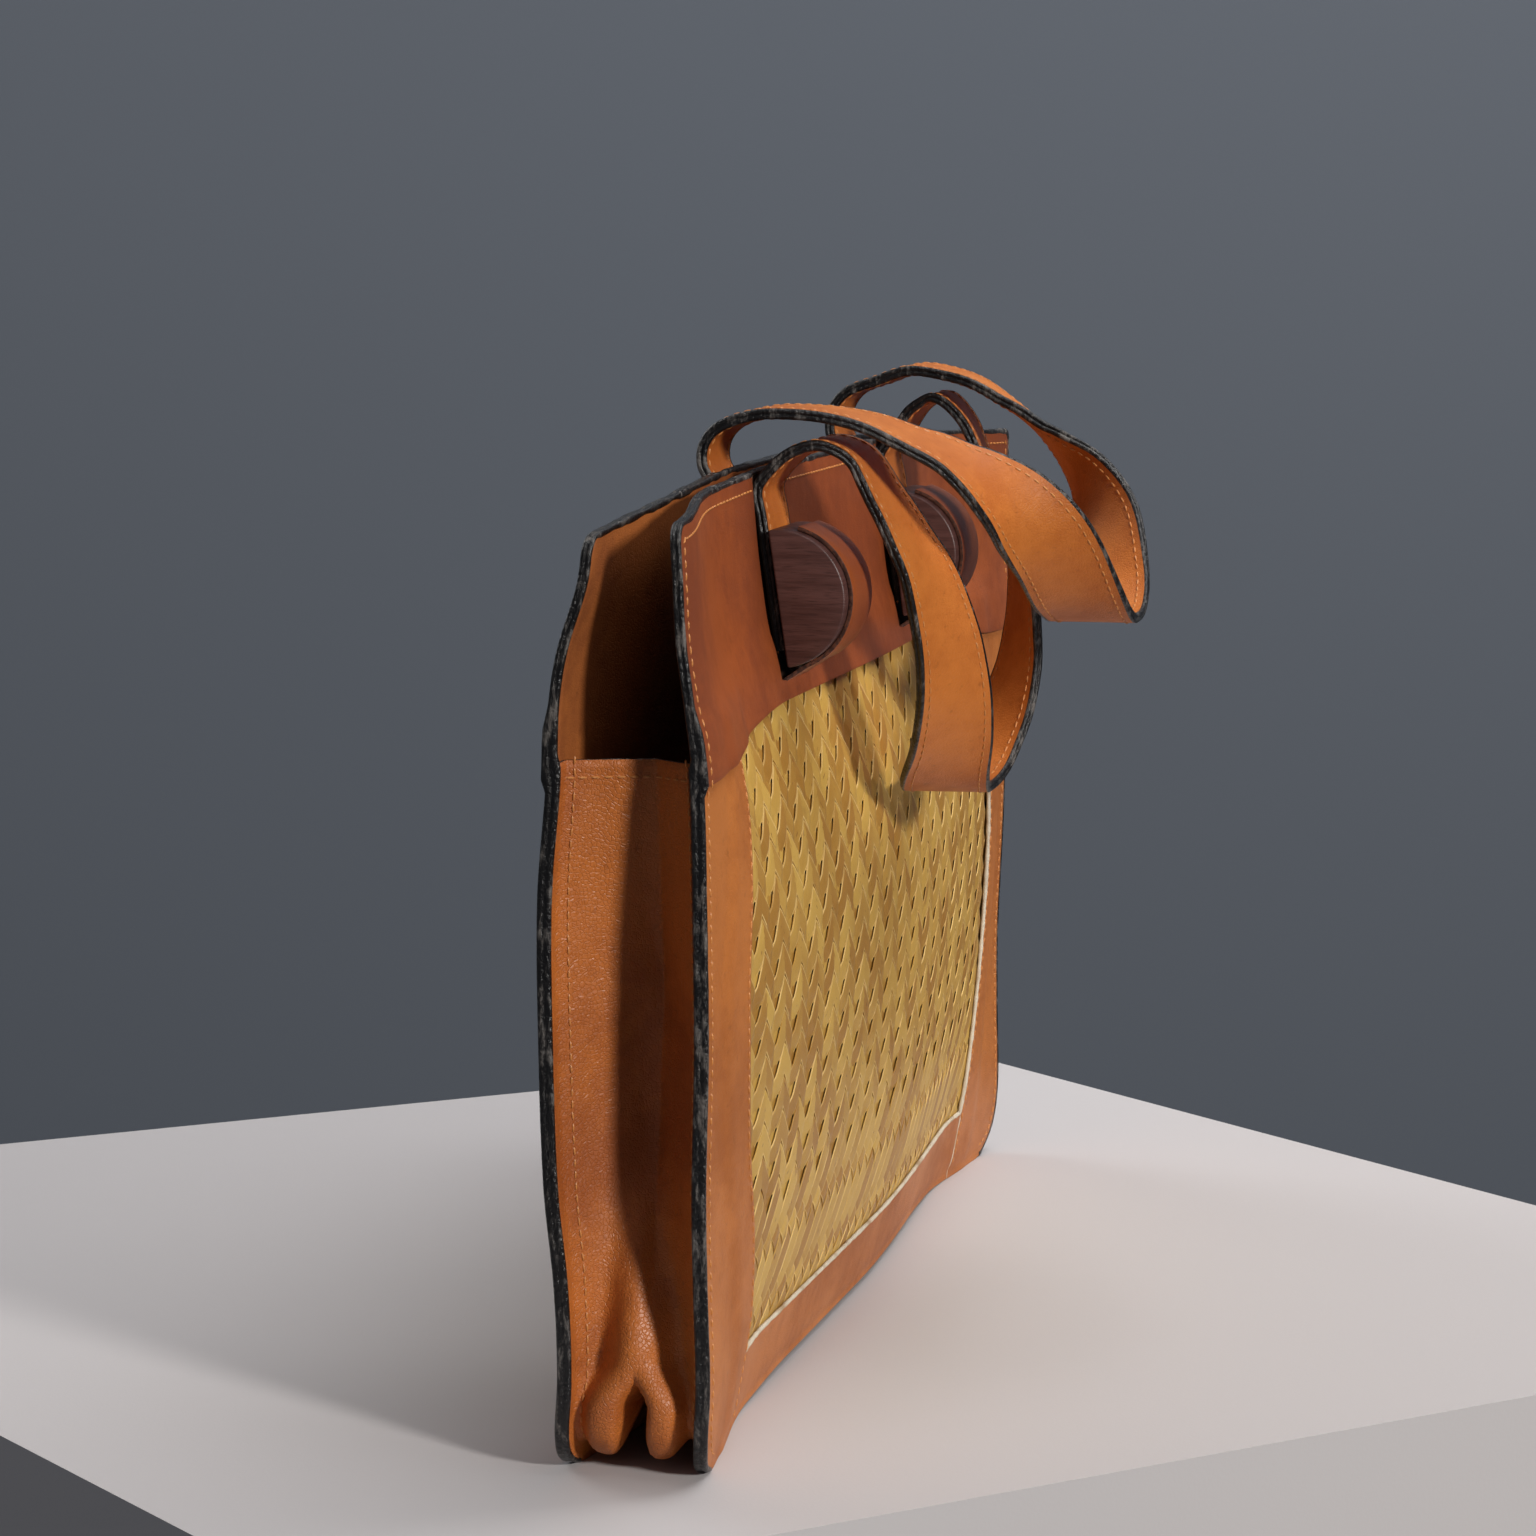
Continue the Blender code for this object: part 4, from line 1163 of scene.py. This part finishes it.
def outline():
    """The panel's outline from foot corner to foot corner: x, z and the way out of the edge."""
    top, mouth = HEIGHT - TOP_CORNER, HALF - TOP_CORNER
    low_turn = [mix(EDGE_START, math.pi / 2, s) for s in shares(10)]
    high_turn = [s * math.pi / 2 for s in shares(10)]
    found = corner(HALF - FOOT_CORNER, FOOT_CORNER, FOOT_CORNER,
                   [(math.sin(a), -math.cos(a)) for a in low_turn])
    found += [(HALF, mix(FOOT_CORNER, top, s), 1.0, 0.0) for s in shares(70)[1:-1]]
    found += corner(mouth, top, TOP_CORNER, [(math.cos(a), math.sin(a)) for a in high_turn])
    stops = {CENTRE + way * NOTCH + step for way in (-1, 1) for step in (-NOTCH_STEP, NOTCH_STEP)}
    xs = sorted({round(mouth * (1 - s), 5) for s in shares(60)} | stops, reverse=True)
    found += [(x, HEIGHT, 0.0, 1.0) for x in xs if x < mouth]
    return found + [(-x, z, -nx, nz) for x, z, nx, nz in reversed(found[:-1])]


def ply_stack(x, z):
    """The inner and outer face of the plies at the panel's edge."""
    inner = -(SEAM_GAP + GUSSET_WALL) * ease((GUSSET_TOP + HEM_START - z) / HEM_RUN)
    if z > HEIGHT - TOP_CORNER / 2 and abs(abs(x) - CENTRE) < NOTCH:
        return inner, PANEL_WALL
    return inner, PANEL_WALL + GAP + LEATHER_WALL + (strip_lift(x, z) if z > yoke_low(x) else 0.0)


def make_edge(side):
    loops = []
    for x, z, nx, nz in outline():
        inner, outer = ply_stack(x, z)
        wobble = WOBBLE * noise.noise(Vector((x * WOBBLE_SCALE, 3.0 * side, z * WOBBLE_SCALE)))
        # Near the table the paint thins out, so that it doesn't reach below the foot.
        proud = min(PAINT_PROUD, max(0.0, z - 0.0001) * 0.4) + wobble * (z > 0.004)
        deep = PAINT_DEEP + 1.5 * wobble
        low, high = inner - INNER_LIP, outer + OUTER_LIP
        middle = (low + high) / 2
        section = [(proud * 0.3, low), (proud, low + ROUND), (proud * 0.75, middle - DIMPLE),
                   (proud * 0.45, middle), (proud * 0.8, middle + DIMPLE), (proud, high - ROUND),
                   (proud * 0.3, high), (-deep * 0.5, high + 0.00003), (-deep, high - 0.0002),
                   (-deep, low + 0.0002), (-deep * 0.5, low - 0.00003)]
        base = Vector((x, 0.0, z + lift(x, z) - sag(side, x, z))) + SHIFT
        loops.append([base + Vector((nx * n, wall_y(side, x, z, out), nz * n))
                      for n, out in section])
    keep(rings(f"{SIDE_NAMES[side]}_painted_edge", loops, edge_paint), "border_leather")


for side in (FRONT, BACK):
    make_edge(side)

# %% [markdown]
# The foot border and the far side border were left unpainted where they meet the straw, so a
# bead of pale fibre shows there. A small round bead is swept along each of those edges, and a
# fixed noise frays it.

# %% Raw edges against the straw
BEAD_WIDE, BEAD_HIGH, BEAD_SIDES, FRAY, FRAY_SCALE = 0.0008, 0.0007, 8, 0.35, 420.0


def bead(name, side, run):
    """A bead along points (x, z, way into the window)."""
    loops = []
    for x, z, way_x, way_z in run:
        fray = 1.0 + FRAY * noise.noise(Vector((x * FRAY_SCALE, 5.0, z * FRAY_SCALE)))
        out = strip_out(x, z) + LEATHER_WALL * 0.5
        loop = []
        for s in shares(BEAD_SIDES)[:-1]:
            angle = 2.0 * math.pi * s
            n, up = BEAD_WIDE * math.cos(angle) * fray, BEAD_HIGH * math.sin(angle) * fray
            loop.append(on_wall(side, x + way_x * n, z + way_z * n, out + up))
        loops.append(loop)
    keep(rings(name, loops, raw_leather), "border_leather")


foot_edge = [(across * (strip_inner(FOOT_STRIP) - 0.001), FOOT_STRIP, 0.0, 1.0)
             for across in spread(150)]
side_edge = [(strip_inner(z) * FAR, z, -FAR, 0.0)
             for z in (mix(0.004, yoke_low(HALF - SIDE_STRIP) - 0.001, s) for s in shares(110))]
for side, name in SIDE_NAMES.items():
    bead(f"{name}_raw_foot", side, foot_edge)
    bead(f"{name}_raw_side", side, side_edge)

# %% [markdown]
# ## Stitching
#
# Each stitch is a short, plump bit of thread, and there are thousands, so Geometry Nodes place
# them. The tree turns a line into a curve, steps along it at the stitch pitch, drops one small
# capsule at each step and turns it to follow the seam. Each seam is only a list of points.


# %% The stitch tree
def stitch_tree():
    nodes, value = new_tree("stitches", ("Pitch", "Length", "Thread"))
    curve = nodes.add("GeometryNodeMeshToCurve", {}, {"Mesh": value["Geometry"]})
    steps = nodes.add("GeometryNodeResampleCurve", {"mode": "LENGTH"},
                      {"Curve": curve, "Length": value["Pitch"]})
    uneven = nodes.add("FunctionNodeRandomValue", {"data_type": "FLOAT_VECTOR"},
                       {"Min": (0.0, 0.0, -0.10), "Max": (0.0, 0.0, 0.10), "Seed": 3})
    follow = nodes.add("FunctionNodeAlignRotationToVector", {"axis": "X"},
                       {"Vector": nodes.add("GeometryNodeInputTangent")})
    turned = nodes.add("FunctionNodeRotateRotation", {"rotation_space": "LOCAL"},
                       {"Rotation": follow, "Rotate By": uneven})
    ball = nodes.add("GeometryNodeMeshUVSphere", {}, {"Segments": 6, "Rings": 5, "Radius": 0.5})
    size = vector(nodes, value["Length"], value["Thread"], value["Thread"])
    laid = nodes.add("GeometryNodeInstanceOnPoints", {},
                     {"Points": steps, "Instance": ball, "Rotation": turned, "Scale": size})
    return end_tree(nodes, laid, value["Finish"])


stitches = stitch_tree()
print("stitch tree nodes:", len(stitches.nodes))

# %% [markdown]
# Two seams run along each handle, one near each edge, and show on both of its faces. On the
# body one seam follows the painted edge, with a break at each notch, and one holds each side
# border down beside the straw.

# %% Seams on the straps and the body
STITCH_PITCH, STITCH_LENGTH, STITCH_THICK, STITCH_PROUD = 0.0030, 0.0023, 0.00066, 0.00004
STRAP_INSET, EDGE_INSET, BORDER_INSET, NOTCH_INSET = 0.0030, 0.0042, 0.0018, 0.002


def stitch(name, runs, slot):
    """Sews along runs of points."""
    mesh = bpy.data.meshes.new(name)
    points, links = [], []
    for run in runs:
        links += [(len(points) + k, len(points) + k + 1) for k in range(len(run) - 1)]
        points += run
    mesh.from_pydata(points, links, [])
    made = show(name, mesh, thread)
    sew = made.modifiers.new("sew", "NODES")
    sew.node_group = stitches
    set_inputs(sew, Pitch=STITCH_PITCH, Length=STITCH_LENGTH, Thread=STITCH_THICK, Finish=thread)
    keep(made, slot)


def on_top(side, x, z):
    """A stitch's place on whatever layer lies on top at a place on the wall."""
    out = (yoke_out(x, z) if z > yoke_low(x) else strip_out(x, z)) + LEATHER_WALL
    return on_wall(side, x, z, out + STITCH_PROUD)


def edge_seam(side):
    """Runs beside the painted edge, broken at the notches."""
    runs, run = [], []
    for x, z, nx, nz in outline():
        x, z = x - nx * EDGE_INSET, z - nz * EDGE_INSET
        if z > NOTCH_LOW and abs(abs(x) - CENTRE) < NOTCH + NOTCH_INSET:
            if len(run) > 3:
                runs.append(run)
            run = []
        else:
            run.append(on_top(side, x, z))
    return runs + [run]


def border_seam(side, end):
    zs = [mix(0.006, yoke_low(HALF - SIDE_STRIP) - 0.001, s) for s in shares(60)]
    return [on_wall(side, (strip_inner(z) + BORDER_INSET) * end, z,
                    strip_out(strip_inner(z), z) + LEATHER_WALL + STITCH_PROUD) for z in zs]


for side, name in SIDE_NAMES.items():
    inset = STRAP_WIDTH / 2 - STRAP_INSET
    seams = [[spot + width * (edge * inset) + thick * face * STRAP_WALL / 2
              for spot, width, thick in handle_frames[side]]
             for edge in (-1, 1) for face in (-1, 1)]
    stitch(f"{name}_handle_stitches", seams, "strap_leather")
for side, name in SIDE_NAMES.items():
    seams = edge_seam(side) + [border_seam(side, end) for end in (NEAR, FAR)]
    stitch(f"{name}_body_stitches", seams, "border_leather")

# %% [markdown]
# The gusset has its own seams: one beside each painted edge, and one under the hem at each end.

# %% Gusset seams
EDGE_SHARES, HEM_SHARES, HEM_STATION, THREAD_PROUD = (0.07, 0.93), (0.03, 0.96), 2, 0.0001


def on_gusset(share, k):
    """A point on the gusset's outer face, at a share across and a station along."""
    here = gusset_point((share, None), gusset_path[k])
    aside = gusset_point((share + 0.01, None), gusset_path[k]) - here
    along = gusset_point((share, None), gusset_path[k + 1]) - here
    return here + aside.cross(along).normalized() * (GUSSET_WALL + THREAD_PROUD)


gusset_seams = [[on_gusset(share, k) for k in range(len(gusset_path) - 1)]
                for share in EDGE_SHARES]
gusset_seams += [[on_gusset(mix(*HEM_SHARES, s), k) for s in shares(30)]
                 for k in (HEM_STATION, len(gusset_path) - 2 - HEM_STATION)]
stitch("gusset_stitches", gusset_seams, "gusset_leather")

# %% [markdown]
# ## Stage, light and camera
#
# The bag stands on a pale block in front of a grey wall. Both are finished like everything
# else, with a faint mottle, because a perfectly even floor looks unreal.


# %% Stage
def plain(tone, rough, mottle):
    def make(nodes, place):
        cloud = nodes.noise(place, mottle, 3.0)
        colour = nodes.colours([t * 0.97 for t in tone], tone, cloud)
        return colour, cloud * 0.05 + rough, nodes.noise(place, 900.0, 2.0), 0.00003
    return make


pale_floor = finish("pale_floor", plain((0.56, 0.53, 0.53), 0.60, 3.0))
grey_wall = finish("grey_wall", plain((0.105, 0.118, 0.140), 0.9, 1.2))


def slab(name, corners, low, high, material):
    """A flat block with the given outline. Its faces point outwards."""
    loops = [[Vector((x, y, z)) for x, y in corners] for z in (low, high)]
    made = rings(name, loops, material)
    made.data.shade_flat()


TABLE = [(-0.314, 0.062), (0.051, -0.294), (0.360, 0.067), (0.020, 0.459)]
WALL = [(2.6, -4.0), (3.2, -3.8), (1.6, 4.2), (1.2, 4.0)]
slab("table", TABLE, -0.45, 0.0, pale_floor)
slab("wall", WALL, -3.0, 4.0, grey_wall)
print("stage: a table and a wall")

# %% [markdown]
# The light is soft. A small disk at the front right is the key and draws the highlights, a
# large one above gives the even shade of a studio, and one behind lifts the back edges. A faint
# fill and a dim blue-grey world keep the shadows open, and the wall has a light of its own.


# %% Light
def soft_light(name, spot, aim, size, power, tint=(1.0, 1.0, 1.0)):
    lamp = bpy.data.lights.new(name, "AREA")
    lamp.shape, lamp.size, lamp.energy, lamp.color = "DISK", size, power, tint
    made = bpy.data.objects.new(name, lamp)
    made.location = spot
    made.rotation_euler = (Vector(aim) - Vector(spot)).to_track_quat("-Z", "Y").to_euler()
    bpy.context.scene.collection.objects.link(made)


soft_light("key", (-1.25, -1.65, 0.95), (0.0, 0.0, 0.12), 0.30, 38.0, (1.0, 0.97, 0.93))
soft_light("top", (0.1, -0.6, 2.2), (0.0, 0.0, 0.0), 1.4, 14.0)
soft_light("fill", (-1.9, 1.2, 0.9), (0.0, 0.0, 0.1), 1.2, 0.25, (0.92, 0.96, 1.0))
soft_light("behind", (0.9, 2.0, 1.3), (0.0, 0.0, 0.1), 1.2, 16.0)
soft_light("wall_light", (0.6, -0.5, 1.8), (2.4, 0.6, 0.4), 1.5, 34.0)
world = bpy.data.worlds.new("room")
world.use_nodes = True
world.node_tree.nodes["Background"].inputs["Color"].default_value = (0.30, 0.32, 0.36, 1.0)
world.node_tree.nodes["Background"].inputs["Strength"].default_value = 0.30
bpy.context.scene.world = world
bpy.context.scene.view_settings.view_transform = "Standard"
print("lights:", len(bpy.data.lights))

# %% [markdown]
# The camera looks almost along the bag, from a little above, through a long lens. Its place
# and its turn come from fitting the photograph's corners and seams.

# %% Camera
LENS, SENSOR = 105.47, 36.0
TILT, HEADING = 0.13442, 0.25396
camera = bpy.data.objects.new("camera", bpy.data.cameras.new("camera"))
camera.data.lens, camera.data.sensor_width = LENS, SENSOR
camera.location = Vector((-1.24641, -0.30794, 0.32768)) + SHIFT
camera.rotation_euler = (math.pi / 2 - TILT, 0.0, HEADING - math.pi / 2)
bpy.context.scene.collection.objects.link(camera)
bpy.context.scene.camera = camera
print("camera height:", round(camera.location.z, 3), "m")
